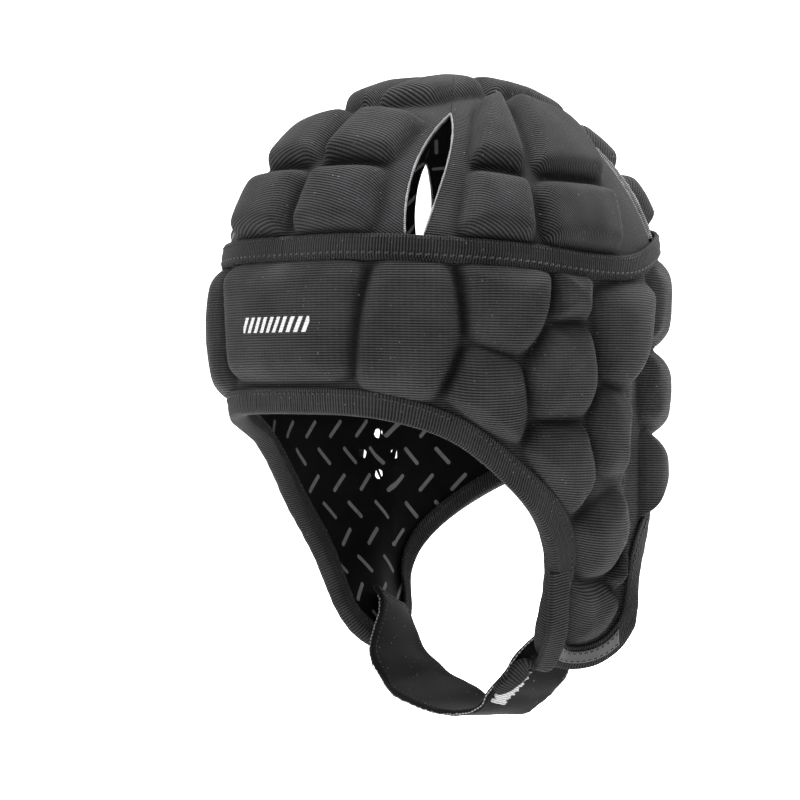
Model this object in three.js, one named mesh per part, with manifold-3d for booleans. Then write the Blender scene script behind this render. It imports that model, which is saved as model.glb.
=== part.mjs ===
// A padded rugby scrum cap, in millimetres. The front is -Y, the wearer's left is +X, up is +Z.
// The origin is the inside of the crown, where the cap sits on the head.
import * as THREE from 'three';
import { mergeVertices } from 'three/addons/utils/BufferGeometryUtils.js';
import Module from 'manifold-3d';

const wasm = await Module();
wasm.setup();

// Driving sizes of the cap's form, measured on the outside of the shell
const CROWN_HEIGHT = 87; // from the ring of greatest girth up to the crown
const FRONT_REACH = 99.5; // from the crown's axis forward to the forehead
const REAR_REACH = 88.5; // from the crown's axis back to the nape
const HALF_WIDTH = 81.5;
const EARFLAP_DROP = 158; // from the ring of greatest girth down to the ends of the ear flaps

// Walls and clearances
const SHELL_WALL = 2.5;
const LINING_WALL = 1.0;
const LAYER_GAP = 0.3; // between the shell and the lining
const SEAT_GAP = 0.7; // under the pads and the seam band
const TRIM_GAP = 1.05; // between the binding and the walls it folds round, and under the strap's ends
const JOIN_GAP = 0.3; // between the crown shell and the side shell
const PAD_HEIGHT = 10;
const PAD_SHOULDER = 4; // how far in from its foot a pad nearly reaches its full height
const GROOVE_WIDTH = 3.6; // between two pads
const PAD_CLEARANCE = 0.8; // from a pad to the seam band or the binding

// Trim
const BAND_WIDTH = 9.4;
const BAND_THICK = 2.0;
const BINDING_OUTER_LEG = 8.5;
const BINDING_INNER_LEG = 6;
const BINDING_TAPE = 1.2;
const STRAP_WIDTH = 35;
const STRAP_THICK = 2.6;
const TONGUE_WIDTH = 11;
const TONGUE_THICK = 3;
const PATCH_THICK = 1.2;

// Vents and ear holes
const VENT_WIDTH = 13;
const EAR_HOLE_DIAMETER = 4.6;
const EAR_HOLE_SPREAD = 9.4; // from the middle of the four holes to each of them
const EAR_HOLE_MIDDLE = { station: 9.03, share: 0.405 };

// How finely the curved pieces are faceted
const SECTOR_COLUMNS = { front: 6, side: 16, rear: 13 };
const CROWN_ROWS = [0, 0.18, 0.32, 0.42, 0.6, 0.8, 1]; // shares of the angle from crown to band
const SIDE_ROWS = [0, 0.2, 0.4, 0.6, 0.8, 1]; // shares of the way from band to edge
const EAR_HOLE_SIDES = 6;
const PAD_FACET = 15; // longest side of a pad's facets
const PAD_ROUNDING = 8; // exponent that rounds a pad's corners, higher is sharper
const STRAP_STEPS = 2; // facets from one row of the strap's table to the next

const FABRIC = { color: 0x2b2b2d, roughness: 0.85, metalness: 0 };
const MATERIALS = {
  cover: new THREE.MeshStandardMaterial({ ...FABRIC, name: 'cover' }),
  lining: new THREE.MeshStandardMaterial({ ...FABRIC, color: 0x111112, name: 'lining' }),
  tape: new THREE.MeshStandardMaterial({ ...FABRIC, color: 0x1e1e20, name: 'tape' }),
  strap: new THREE.MeshStandardMaterial({ ...FABRIC, color: 0x161617, name: 'strap' }),
  hook: new THREE.MeshStandardMaterial({ color: 0xd8d8d6, roughness: 0.6, metalness: 0, name: 'hook' }),
};

const radians = (degrees) => (degrees * Math.PI) / 180;
const degrees = (angle) => (angle * 180) / Math.PI;
const mix = (a, b, f) => a + (b - a) * f;
const WALL = SHELL_WALL + LAYER_GAP + LINING_WALL;
const GIRTH_Z = WALL - CROWN_HEIGHT;
const FRONT_FULLNESS = 2.65; // exponent of the plan outline, where 2 is an ellipse
const REAR_FULLNESS = 2.45;

// Stations round the left half, from the forehead to the nape. Each is a line down the side wall.
// band is its azimuth at the seam band and dip the band's angle down from the crown. mid and edge give
// azimuth, reach as a share of the plan outline's there, and drop as a share of EARFLAP_DROP.
const STATIONS = [
  { name: 'forehead', band: 0, dip: 80, mid: [0, 1.0, 0.11], edge: [0, 0.99, 0.32] },
  { name: 'brow', band: 20, dip: 80, mid: [20, 1.0, 0.11], edge: [20, 0.985, 0.325] },
  { name: 'temple', band: 40, dip: 81, mid: [37, 0.985, 0.13], edge: [33, 0.95, 0.35] },
  { name: 'cheek_top', band: 58, dip: 82, mid: [52, 0.99, 0.17], edge: [46, 0.89, 0.405] },
  { name: 'cheek', band: 72, dip: 83, mid: [66, 0.99, 0.235], edge: [60, 0.9, 0.505] },
  { name: 'cheek_low', band: 82, dip: 83.8, mid: [77, 1.0, 0.335], edge: [72, 0.93, 0.62] },
  { name: 'jaw_front', band: 90, dip: 84.2, mid: [87, 0.995, 0.435], edge: [80, 0.86, 0.775] },
  { name: 'flap_front', band: 97, dip: 84.4, mid: [96, 0.975, 0.5], edge: [84, 0.73, 0.93] },
  { name: 'flap_end', band: 105, dip: 84, mid: [105, 0.955, 0.52], edge: [97, 0.66, 1.0] },
  { name: 'flap_rear', band: 113, dip: 82.3, mid: [109.5, 0.925, 0.56], edge: [111, 0.775, 1.0] },
  { name: 'jaw_rear', band: 122, dip: 79.5, mid: [112.5, 0.905, 0.6], edge: [118, 0.905, 0.905] },
  { name: 'neck', band: 133, dip: 76.5, mid: [119, 0.915, 0.5], edge: [121, 0.92, 0.75] },
  { name: 'neck_rear', band: 148, dip: 74.3, mid: [142, 0.957, 0.285], edge: [143, 0.925, 0.58] },
  { name: 'nape_side', band: 165, dip: 73.3, mid: [165, 0.985, 0.17], edge: [162, 0.96, 0.5] },
  { name: 'nape', band: 180, dip: 73, mid: [180, 1.0, 0.165], edge: [180, 0.975, 0.48] },
];
const HALF_LOOP = STATIONS.length - 1;
const LOOP = 2 * HALF_LOOP;

// Vents on the left half: azimuth at the band and at the top, and the angle from the crown at the top.
const VENTS = {
  front: { band: 34.4, top: 42.4, start: 34 },
  rear: { band: 127, top: 124, start: 42 },
};
const VENT_SWEEP = 1.5; // how the vent bends from its top to the band
const VENT_LENS = 1.15; // moves the widest place down, 1 is the middle
const VENT_TAIL = 0.86; // 1 would close the vent at the band

// Where grooves meet on the crown. across runs from -1 at the sector's first vent to 1 at its next one,
// down from 0 at the crown to 1 at the seam band's middle.
const CROWN_JOINTS = {
  apex: { sector: 'front', across: 0, down: 0.02 },
  front_top: { sector: 'front', across: 0, down: 0.4 },
  front_top_side: { sector: 'front', across: 0.93, down: 0.485 },
  front_mid: { sector: 'front', across: 0, down: 0.695 },
  front_mid_side: { sector: 'front', across: 0.84, down: 0.71 },
  front_band: { sector: 'front', across: 0, down: 1 },
  front_band_side: { sector: 'front', across: 0.785, down: 1 },
  top_front: { sector: 'front', across: 0.825, down: 0.378 },
  top_side: { sector: 'side', across: -0.02, down: 0.24 },
  side_top_front: { sector: 'side', across: -0.76, down: 0.345 },
  side_top_rear: { sector: 'side', across: 0.93, down: 0.42 },
  side_mid_front: { sector: 'side', across: -0.89, down: 0.705 },
  side_mid: { sector: 'side', across: -0.33, down: 0.72 },
  side_mid_rear: { sector: 'side', across: 0.67, down: 0.72 },
  side_band_front: { sector: 'side', across: -0.85, down: 1 },
  side_band: { sector: 'side', across: -0.29, down: 1 },
  side_band_rear: { sector: 'side', across: 0.5, down: 1 },
  rear_top: { sector: 'rear', across: 0, down: 0.43 },
  rear_top_side: { sector: 'rear', across: -0.7, down: 0.475 },
  rear_mid: { sector: 'rear', across: 0, down: 0.7 },
  rear_mid_side: { sector: 'rear', across: -0.76, down: 0.72 },
  rear_band: { sector: 'rear', across: 0, down: 1 },
  rear_band_side: { sector: 'rear', across: -0.79, down: 1 },
};
const CROWN_PADS = {
  crown_top_front: ['apex', 'front_top', 'top_front', 'top_side'],
  crown_top_rear: ['apex', 'top_side', 'rear_top_side', 'rear_top'],
  crown_front_upper: ['front_top', 'front_mid', 'front_mid_side', 'front_top_side'],
  crown_front_lower: ['front_mid', 'front_band', 'front_band_side', 'front_mid_side'],
  crown_side_upper_front: ['side_top_front', 'side_mid_front', 'side_mid', 'top_side'],
  crown_side_upper_rear: ['top_side', 'side_mid', 'side_mid_rear', 'side_top_rear'],
  crown_side_lower_front: ['side_mid_front', 'side_band_front', 'side_band', 'side_mid'],
  crown_side_lower_rear: ['side_mid', 'side_band', 'side_band_rear', 'side_mid_rear'],
  crown_rear_upper: ['rear_top', 'rear_top_side', 'rear_mid_side', 'rear_mid'],
  crown_rear_lower: ['rear_mid', 'rear_mid_side', 'rear_band_side', 'rear_band'],
};

// Where grooves meet on the side wall: station number, and the share of the way from band to edge.
const SIDE_JOINTS = {
  band_brow: [1.3, 0],
  band_temple: [2.2, 0],
  band_cheek: [4.0, 0],
  band_ear: [5.7, 0],
  band_ear_mid: [7.8, 0],
  band_ear_rear: [9.8, 0],
  band_neck: [12.2, 0],
  band_nape: [14, 0],
  temple: [2.62, 0.49],
  cheek: [3.67, 0.47],
  cheek_upper: [4.14, 0.25],
  ear_upper: [5.61, 0.15],
  ear_front: [6.15, 0.29],
  ear_top: [7.78, 0.283],
  ear_rear: [10.02, 0.15],
  neck_upper: [12.38, 0.41],
  nape_upper: [14, 0.5],
  cheek_lower: [4.13, 0.685],
  ear_lower: [5.68, 0.43],
  jaw_upper: [6.5, 0.53],
  jaw_mid: [7.89, 0.488],
  jaw_low: [5.95, 0.72],
  flap_rear: [10.75, 0.635],
  flap_mid: [8.5, 0.74],
  neck_mid: [11.13, 0.388],
  neck_low: [11.24, 0.78],
  nape_low: [12.33, 0.77],
  edge_forehead: [0, 1],
  edge_brow: [1.1, 1],
  edge_temple: [2.3, 1],
  edge_cheek_top: [3.1, 1],
  edge_cheek: [3.9, 1],
  edge_cheek_low: [4.5, 1],
  edge_jaw: [5.1, 1],
  edge_jaw_low: [5.5, 1],
  edge_flap_front: [5.95, 1],
  edge_flap_low: [6.7, 1],
  edge_flap_corner: [7.7, 1],
  edge_flap_end: [8.6, 1],
  edge_flap_rear: [9.4, 1],
  edge_flap_back: [10.2, 1],
  edge_flap_back_mid: [10.5, 1],
  edge_neck_low: [10.8, 1],
  edge_neck: [11.3, 1],
  edge_neck_mid: [11.75, 1],
  edge_nape: [12.3, 1],
  edge_nape_mid: [13.6, 1],
};
const SIDE_PADS = {
  temple: ['band_brow', 'edge_brow', 'edge_temple', 'temple', 'band_temple'],
  cheek_upper: ['band_temple', 'temple', 'cheek', 'cheek_upper', 'band_cheek'],
  ear_upper: ['band_cheek', 'cheek_upper', 'ear_upper', 'band_ear'],
  ear_front: ['cheek_upper', 'cheek', 'cheek_lower', 'ear_lower', 'ear_front', 'ear_upper'],
  cheek: ['temple', 'edge_temple', 'edge_cheek_top', 'edge_cheek', 'cheek_lower', 'cheek'],
  ear_rear: ['band_ear', 'ear_upper', 'ear_front', 'ear_top', 'ear_rear', 'band_ear_rear', 'band_ear_mid'],
  jaw_front: ['cheek_lower', 'edge_cheek', 'edge_cheek_low', 'edge_jaw', 'jaw_low', 'jaw_upper', 'ear_lower'],
  ear_lower: ['ear_front', 'ear_lower', 'jaw_upper', 'jaw_mid', 'ear_top'],
  neck_upper: ['band_ear_rear', 'ear_rear', 'neck_upper', 'band_neck'],
  neck: ['ear_rear', 'neck_mid', 'nape_low', 'neck_upper'],
  neck_lower: ['neck_mid', 'neck_low', 'edge_neck', 'edge_neck_mid', 'edge_nape', 'nape_low'],
  flap_upper: ['jaw_upper', 'jaw_low', 'edge_jaw', 'edge_jaw_low', 'edge_flap_front', 'flap_mid', 'flap_rear', 'jaw_mid'],
  flap_rear: ['flap_rear', 'flap_mid', 'edge_flap_back', 'edge_flap_back_mid', 'edge_neck_low', 'edge_neck', 'neck_low'],
  flap_lower: [
    'flap_mid',
    'edge_flap_front',
    'edge_flap_low',
    'edge_flap_corner',
    'edge_flap_end',
    'edge_flap_rear',
    'edge_flap_back',
  ],
  nape_upper: ['band_neck', 'neck_upper', 'nape_upper', 'band_nape'],
};

// The chin strap from inside the right flap, under the chin, to inside the left flap. Its sewn rows lie on
// the flap's inside: the stations and shares of its front and rear edges, and how deep it lies.
const STRAP_SEWN = [
  { front: [7.7, 0.84], rear: [9.25, 0.87], over: 'lining' },
  { front: [7.75, 0.9], rear: [9.25, 0.92], over: 'binding' },
];
// Its free rows: x, y and drop place the front edge as shares of HALF_WIDTH, FRONT_REACH and EARFLAP_DROP,
// rise and toe move the rear edge up and to the left as shares of STRAP_WIDTH.
const STRAP_ROWS = [
  { x: -0.538, y: -0.08, drop: 1.005, rise: -0.04, toe: -0.03 },
  { x: -0.442, y: -0.08, drop: 1.084, rise: 0.14, toe: 0.03 },
  { x: -0.344, y: -0.1, drop: 1.117, rise: 0.17, toe: 0.08 },
  { x: -0.11, y: -0.11, drop: 1.147, rise: 0.16, toe: 0.03 },
  { x: 0.086, y: -0.11, drop: 1.154, rise: -0.015, toe: -0.05 },
  { x: 0.282, y: -0.11, drop: 1.132, rise: -0.13, toe: -0.08 },
  { x: 0.393, y: -0.11, drop: 1.075, rise: -0.22, toe: -0.03 },
  { x: 0.503, y: -0.11, drop: 1.024, rise: -0.2, toe: 0.03 },
  { x: 0.555, y: -0.085, drop: 0.975, rise: -0.12, toe: 0.04 },
];
// Rows of the strap's table and shares of its width that the hook patch covers
const PATCH_SPAN = { from: 7.6, to: 9.3, front: 0.02, rear: 0.42 };
// The tongue from its rounded tip: rows of the strap's table and shares of its width. It ends just short of
// the left flap's binding, at a station of the edge.
const TONGUE_ROWS = [
  { row: 8.3, across: -0.05 },
  { row: 9, across: 0.03 },
  { row: 9.7, across: 0.13 },
];
const TONGUE_ROOT = 7.5;

function planReach(azimuth) {
  const c = Math.cos(azimuth);
  const s = Math.sin(azimuth);
  const along = c > 0 ? FRONT_REACH : REAR_REACH;
  const fullness = c > 0 ? FRONT_FULLNESS : REAR_FULLNESS;
  const sum = (Math.abs(c) / along) ** fullness + (Math.abs(s) / HALF_WIDTH) ** fullness;
  return sum ** (-1 / fullness);
}

// A smooth closed curve through one value per station: cubic pieces whose slopes match.
// The right half repeats the left one, as it is or counted back from a whole turn.
function loopSpline(pick, turn = 0) {
  const half = STATIONS.map(pick);
  const at = (k) => {
    const laps = Math.floor(k / LOOP);
    const j = k - laps * LOOP;
    const value = j <= HALF_LOOP ? half[j] : turn ? turn - half[LOOP - j] : half[LOOP - j];
    return value + laps * turn;
  };
  const wrap = (k) => ((k % LOOP) + LOOP) % LOOP;
  const slope = Array.from({ length: LOOP }, (_, k) => (at(k + 1) - at(k - 1)) / 2);
  for (let pass = 0; pass < 40; pass++) {
    for (let k = 0; k < LOOP; k++) {
      slope[k] = (3 * (at(k + 1) - at(k - 1)) - slope[wrap(k + 1)] - slope[wrap(k - 1)]) / 4;
    }
  }
  return (s) => {
    const k = Math.floor(s);
    const f = s - k;
    const rise = at(k + 1) - at(k);
    const first = slope[wrap(k)];
    const last = slope[wrap(k + 1)];
    return at(k) + f * (first + f * (3 * rise - 2 * first - last + f * (first + last - 2 * rise)));
  };
}
const FULL_TURN = 360;
const station = {
  bandAzimuth: loopSpline((row) => row.band, FULL_TURN),
  dip: loopSpline((row) => row.dip),
  midAzimuth: loopSpline((row) => row.mid[0], FULL_TURN),
  midReach: loopSpline((row) => row.mid[1]),
  midDrop: loopSpline((row) => row.mid[2]),
  edgeAzimuth: loopSpline((row) => row.edge[0], FULL_TURN),
  edgeReach: loopSpline((row) => row.edge[1]),
  edgeDrop: loopSpline((row) => row.edge[2]),
};

// The station whose line starts at an azimuth of the band, found by halving.
function stationAt(azimuth) {
  let low = -HALF_LOOP;
  let high = LOOP + HALF_LOOP;
  for (let pass = 0; pass < 50; pass++) {
    const middle = (low + high) / 2;
    if (station.bandAzimuth(middle) < azimuth) low = middle;
    else high = middle;
  }
  return (low + high) / 2;
}
const bandDip = (azimuth) => station.dip(stationAt(azimuth));

// Position vectors: on the dome from plane angles, and on a cylinder-like ring
function ringPoint(azimuth, reach, z) {
  const angle = radians(azimuth);
  return new THREE.Vector3(reach * Math.sin(angle), -reach * Math.cos(angle), z);
}
const crownSurface = {
  // a and b are degrees from the crown, towards the left and towards the back
  point(a, b) {
    const angle = Math.hypot(a, b);
    const azimuth = degrees(Math.atan2(a, -b));
    const reach = planReach(radians(azimuth)) * Math.sin(radians(angle));
    return ringPoint(azimuth, reach, GIRTH_Z + CROWN_HEIGHT * Math.cos(radians(angle)));
  },
  step: 0.02,
};
function bandPoint(s) {
  const azimuth = station.bandAzimuth(s);
  const angle = station.dip(s);
  return crownSurface.point(angle * Math.sin(radians(azimuth)), -angle * Math.cos(radians(azimuth)));
}
function wallPoint(azimuth, reach, drop) {
  return ringPoint(azimuth, planReach(radians(azimuth)) * reach, GIRTH_Z - EARFLAP_DROP * drop);
}
const sideSurface = {
  // s is the station, t the share of the way down: a parabola through band, middle and edge
  point(s, t) {
    const middle = wallPoint(station.midAzimuth(s), station.midReach(s), station.midDrop(s));
    const edge = wallPoint(station.edgeAzimuth(s), station.edgeReach(s), station.edgeDrop(s));
    return bandPoint(s)
      .multiplyScalar(2 * (t - 0.5) * (t - 1))
      .addScaledVector(middle, 4 * t * (1 - t))
      .addScaledVector(edge, 2 * t * (t - 0.5));
  },
  step: 0.002,
};
for (const surface of [crownSurface, sideSurface]) {
  surface.slopes = (u, v) => {
    const d = surface.step;
    const du = surface.point(u + d, v).sub(surface.point(u - d, v)).divideScalar(2 * d);
    const dv = surface.point(u, v + d).sub(surface.point(u, v - d)).divideScalar(2 * d);
    return [du, dv];
  };
  surface.normal = (u, v) => {
    const [du, dv] = surface.slopes(u, v);
    const normal = du.cross(dv).normalize();
    return surface === crownSurface ? normal : normal.negate();
  };
  surface.at = (u, v, offset) => surface.point(u, v).addScaledVector(surface.normal(u, v), offset);
}
const polar = (azimuth, angle) => [angle * Math.sin(radians(azimuth)), -angle * Math.cos(radians(azimuth))];

// A flat frame that touches a surface at u, v. find gives the surface's place under a point of the frame.
function frameOn(surface, u, v) {
  const origin = surface.point(u, v);
  const normal = surface.normal(u, v);
  const upwards = Math.abs(normal.z) > 0.7 ? new THREE.Vector3(0, 1, 0) : new THREE.Vector3(0, 0, 1);
  const side = new THREE.Vector3().crossVectors(upwards, normal).normalize();
  const up = new THREE.Vector3().crossVectors(normal, side);
  const flat = (point) => {
    const step = point.clone().sub(origin);
    return new THREE.Vector2(step.dot(side), step.dot(up));
  };
  const find = (x, y) => {
    let place = [u, v];
    for (let pass = 0; pass < 8; pass++) {
      const miss = flat(surface.point(...place)).sub(new THREE.Vector2(x, y));
      const [du, dv] = surface.slopes(...place);
      const [a, b, c, d] = [du.dot(side), dv.dot(side), du.dot(up), dv.dot(up)];
      const det = a * d - b * c;
      place = [place[0] - (d * miss.x - b * miss.y) / det, place[1] - (a * miss.y - c * miss.x) / det];
    }
    return place;
  };
  return { origin, normal, side, up, flat, find };
}

// Mesh helpers: corners is a list of rings or rows of points, and every face turns outwards.
function meshGeometry(points, faces) {
  const geometry = new THREE.BufferGeometry();
  geometry.setAttribute('position', new THREE.Float32BufferAttribute(points.flatMap((p) => p.toArray()), 3));
  geometry.setIndex(faces.flat());
  const merged = mergeVertices(geometry, 1e-4);
  const index = [];
  for (let i = 0; i < merged.index.count; i += 3) {
    const corner = [0, 1, 2].map((k) => merged.index.getX(i + k));
    if (new Set(corner).size === 3) index.push(...corner);
  }
  merged.setIndex(index);
  merged.computeVertexNormals();
  return merged;
}
// A sheet: places is a list of { outer, inner } points, faces turn outwards, and the free edges get walls.
function sheetGeometry(places, faces) {
  const keys = new Map();
  const place = places.map(({ outer }) => {
    const key = outer.toArray().map((value) => Math.round(value * 1000)).join();
    if (!keys.has(key)) keys.set(key, keys.size);
    return keys.get(key);
  });
  const points = [];
  places.forEach(({ outer, inner }, i) => {
    points[place[i]] = outer;
    points[keys.size + place[i]] = inner;
  });
  const whole = faces.map((face) => face.map((i) => place[i])).filter((face) => new Set(face).size === 3);
  const edges = new Set(whole.flatMap(([a, b, c]) => [`${a},${b}`, `${b},${c}`, `${c},${a}`]));
  const solid = whole.flatMap(([a, b, c]) => [[a, b, c], [keys.size + a, keys.size + c, keys.size + b]]);
  for (const edge of edges) {
    const [a, b] = edge.split(',').map(Number);
    if (edges.has(`${b},${a}`)) continue;
    solid.push([b, a, keys.size + a], [b, keys.size + a, keys.size + b]);
  }
  return closedGeometry(points, solid);
}
// Faces of a grid of rows by columns, numbered row by row.
function gridFaces(rows, columns, closed = false, first = 0) {
  const faces = [];
  for (let j = 0; j + 1 < rows; j++) {
    for (let i = 0; i + (closed ? 0 : 1) < columns; i++) {
      const a = first + j * columns + i;
      const b = first + j * columns + ((i + 1) % columns);
      faces.push([a, a + columns, b + columns], [a, b + columns, b]);
    }
  }
  return faces;
}

// Vents: the azimuth of the middle and half the opening's angle, at an angle from the crown.
function ventAt(vent, angle) {
  const end = bandDip(vent.band);
  const share = THREE.MathUtils.clamp((angle - vent.start) / (end - vent.start), 0, 1);
  const middle = mix(vent.band, vent.top, (1 - share) ** VENT_SWEEP);
  const opening = (VENT_WIDTH / 2) * Math.max(0, Math.sin(Math.PI * VENT_TAIL * share ** VENT_LENS));
  const reach = planReach(radians(middle)) * Math.max(Math.sin(radians(angle)), 0.1);
  return { middle, half: degrees(opening / reach) };
}
// First and last azimuth of each sector of the crown at an angle from the crown
const SECTORS = [
  {
    name: 'front',
    columns: SECTOR_COLUMNS.front,
    reach: (angle) => {
      const { middle, half } = ventAt(VENTS.front, angle);
      return [half - middle, middle - half];
    },
  },
  {
    name: 'side',
    columns: SECTOR_COLUMNS.side,
    reach: (angle) => {
      const front = ventAt(VENTS.front, angle);
      const rear = ventAt(VENTS.rear, angle);
      return [front.middle + front.half, rear.middle - rear.half];
    },
  },
  {
    name: 'rear',
    columns: SECTOR_COLUMNS.rear,
    reach: (angle) => {
      const { middle, half } = ventAt(VENTS.rear, angle);
      return [middle + half, FULL_TURN - middle - half];
    },
  },
  {
    name: 'right_side',
    columns: SECTOR_COLUMNS.side,
    reach: (angle) => {
      const front = ventAt(VENTS.front, angle);
      const rear = ventAt(VENTS.rear, angle);
      return [FULL_TURN - rear.middle + rear.half, FULL_TURN - front.middle - front.half];
    },
  },
];
const sector = Object.fromEntries(SECTORS.map((entry) => [entry.name, entry]));

// Columns of the shells: evenly spaced along the stations of each sector. A column at a vent starts from
// the vent's own angle, so that the two columns meet in one line above it.
const COLUMNS = SECTORS.flatMap(({ name, columns, reach }) => {
  const ends = [0, 1].map((end) => {
    let angle = 80;
    for (let pass = 0; pass < 8; pass++) angle = bandDip(reach(angle)[end]);
    return stationAt(reach(angle)[end]);
  });
  return Array.from({ length: columns + 1 }, (_, i) => {
    const s = mix(...ends, i / columns);
    const azimuth = station.bandAzimuth(s);
    const angle = station.dip(s);
    const [from, to] = reach(angle);
    const seam = i === 0 || i === columns;
    const vent = name === 'rear' || (name === 'side' && i > 0) || (name === 'right_side' && i === 0);
    const seamAngle = seam ? bandDip(vent ? VENTS.rear.band : VENTS.front.band) : angle;
    return { name, share: (azimuth - from) / (to - from), reach, azimuth, angle, seamAngle, s };
  });
});

// One layer of the crown or the side wall between two depths below the shell's outside
function layerRows(part, from, to) {
  const joins = part !== 'lining';
  const crown = CROWN_ROWS.map((row) =>
    COLUMNS.map((column) => {
      const gap = joins ? degrees(JOIN_GAP / 2 / CROWN_HEIGHT) : 0;
      const angle = row < 1 ? row * column.seamAngle : column.angle - gap;
      const azimuth = mix(...column.reach(angle), column.share);
      const uv = polar(azimuth, angle);
      const normal = crownSurface.normal(...uv);
      if (row === 1) normal.add(sideSurface.normal(column.s, 0)).normalize();
      return { point: crownSurface.point(...uv), normal };
    }),
  );
  const side = SIDE_ROWS.map((row) =>
    COLUMNS.map((column) => {
      const length = sideSurface.point(column.s, 1).distanceTo(sideSurface.point(column.s, 0));
      const gap = joins ? JOIN_GAP / 2 / length : 0;
      const t = mix(gap, 1, row);
      const normal = sideSurface.normal(column.s, t);
      if (row === 0) normal.add(crownSurface.normal(...polar(column.azimuth, column.angle))).normalize();
      return { point: sideSurface.point(column.s, t), normal };
    }),
  );
  const layer = ({ point, normal }) => ({
    outer: point.clone().addScaledVector(normal, -from),
    inner: point.clone().addScaledVector(normal, -to),
  });
  return { crown: crown.map((row) => row.map(layer)), side: side.map((row) => row.map(layer)) };
}
function crownFaces(first = 0) {
  const width = COLUMNS.length;
  return gridFaces(CROWN_ROWS.length, width, true, first).filter(([a]) => {
    const i = (a - first) % width;
    const next = (i + 1) % width;
    return COLUMNS[i].name === COLUMNS[next].name;
  });
}
// Between two sectors the crown's rows meet above the vent, so only the vent itself stays open.
function crownGeometry(from, to) {
  const rows = layerRows('crown', from, to).crown;
  return sheetGeometry(rows.flat(), crownFaces());
}
function sideGeometry(from, to) {
  const rows = layerRows('side', from, to).side;
  return sheetGeometry(rows.flat(), gridFaces(SIDE_ROWS.length, COLUMNS.length, true));
}
function liningGeometry(from, to) {
  const { crown, side } = layerRows('lining', from, to);
  const places = [...crown.flat(), ...side.flat()];
  const first = crown.flat().length;
  return sheetGeometry(places, [...crownFaces(), ...gridFaces(SIDE_ROWS.length, COLUMNS.length, true, first)]);
}

// Ear holes: four round holes in a diamond over each ear, cut through shell and lining
function toSolid(geometry) {
  const clean = geometry.clone();
  clean.deleteAttribute('normal');
  clean.deleteAttribute('uv');
  const merged = mergeVertices(clean, 1e-4);
  const vertProperties = new Float32Array(merged.attributes.position.array);
  return new wasm.Manifold(new wasm.Mesh({ numProp: 3, vertProperties, triVerts: new Uint32Array(merged.index.array) }));
}
function fromSolid(solid) {
  const { vertProperties, triVerts } = solid.getMesh();
  const geometry = new THREE.BufferGeometry();
  geometry.setAttribute('position', new THREE.Float32BufferAttribute(vertProperties, 3));
  geometry.setIndex([...triVerts]);
  geometry.computeVertexNormals();
  return geometry;
}
const EAR_HOLE_CUTS = [-1, 1].flatMap((hand) => {
  const { station: s, share } = EAR_HOLE_MIDDLE;
  const frame = frameOn(sideSurface, s, share);
  return [[0, 1], [0, -1], [1, 0], [-1, 0]].map(([x, y]) => {
    const place = frame.find(x * EAR_HOLE_SPREAD, y * EAR_HOLE_SPREAD);
    const normal = sideSurface.normal(...place);
    const middle = sideSurface.at(...place, -WALL / 2);
    const radius = EAR_HOLE_DIAMETER / 2;
    const cutter = new THREE.CylinderGeometry(radius, radius, 4 * WALL, EAR_HOLE_SIDES);
    cutter.applyQuaternion(new THREE.Quaternion().setFromUnitVectors(new THREE.Vector3(0, 1, 0), normal));
    cutter.translate(middle.x, middle.y, middle.z);
    if (hand < 0) {
      cutter.scale(-1, 1, 1);
      cutter.setIndex([...cutter.index.array].reverse());
    }
    return toSolid(cutter);
  });
});
const withEarHoles = (geometry) =>
  fromSolid(EAR_HOLE_CUTS.reduce((solid, cutter) => solid.subtract(cutter), toSolid(geometry)));

// Pads: a soft-cornered polygon between its grooves, laid out flat, then laid back on the surface.
function centreOfArea(corners) {
  const sum = new THREE.Vector3();
  corners.forEach((p, i) => {
    const q = corners[(i + 1) % corners.length];
    const cross = p.x * q.y - q.x * p.y;
    sum.add(new THREE.Vector3((cross * (p.x + q.x)) / 3, (cross * (p.y + q.y)) / 3, cross));
  });
  return new THREE.Vector2(sum.x / sum.z, sum.y / sum.z);
}
// Each side of a polygon: the way out of it, and how far it is from a place inside, less its inset
function sidesFrom(middle, corners, insets) {
  return corners.map((corner, i) => {
    const along = corners[(i + 1) % corners.length].clone().sub(corner);
    const outwards = new THREE.Vector2(along.y, -along.x).normalize();
    const distance = corner.clone().sub(middle).dot(outwards);
    if (distance < 0) outwards.negate();
    return { outwards, reach: Math.abs(distance) - insets[i] };
  });
}
// The centre of the polygon, moved away from any side that is nearer than a pad's shoulder
function roomiest(corners, insets) {
  const middle = centreOfArea(corners);
  for (let pass = 0; pass < 60; pass++) {
    const nearest = sidesFrom(middle, corners, insets).reduce((a, b) => (b.reach < a.reach ? b : a));
    if (nearest.reach > PAD_SHOULDER + 1) break;
    middle.addScaledVector(nearest.outwards, -0.2);
  }
  return middle;
}
function softPolygon(sides) {
  return (angle, inset) => {
    const direction = new THREE.Vector2(Math.cos(angle), Math.sin(angle));
    const sum = sides.reduce((total, { outwards, reach }) => {
      const facing = Math.max(0, direction.dot(outwards));
      return total + (facing / Math.max(reach - inset, 0.5)) ** PAD_ROUNDING;
    }, 0);
    return direction.multiplyScalar(sum ** (-1 / PAD_ROUNDING));
  };
}
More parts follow.
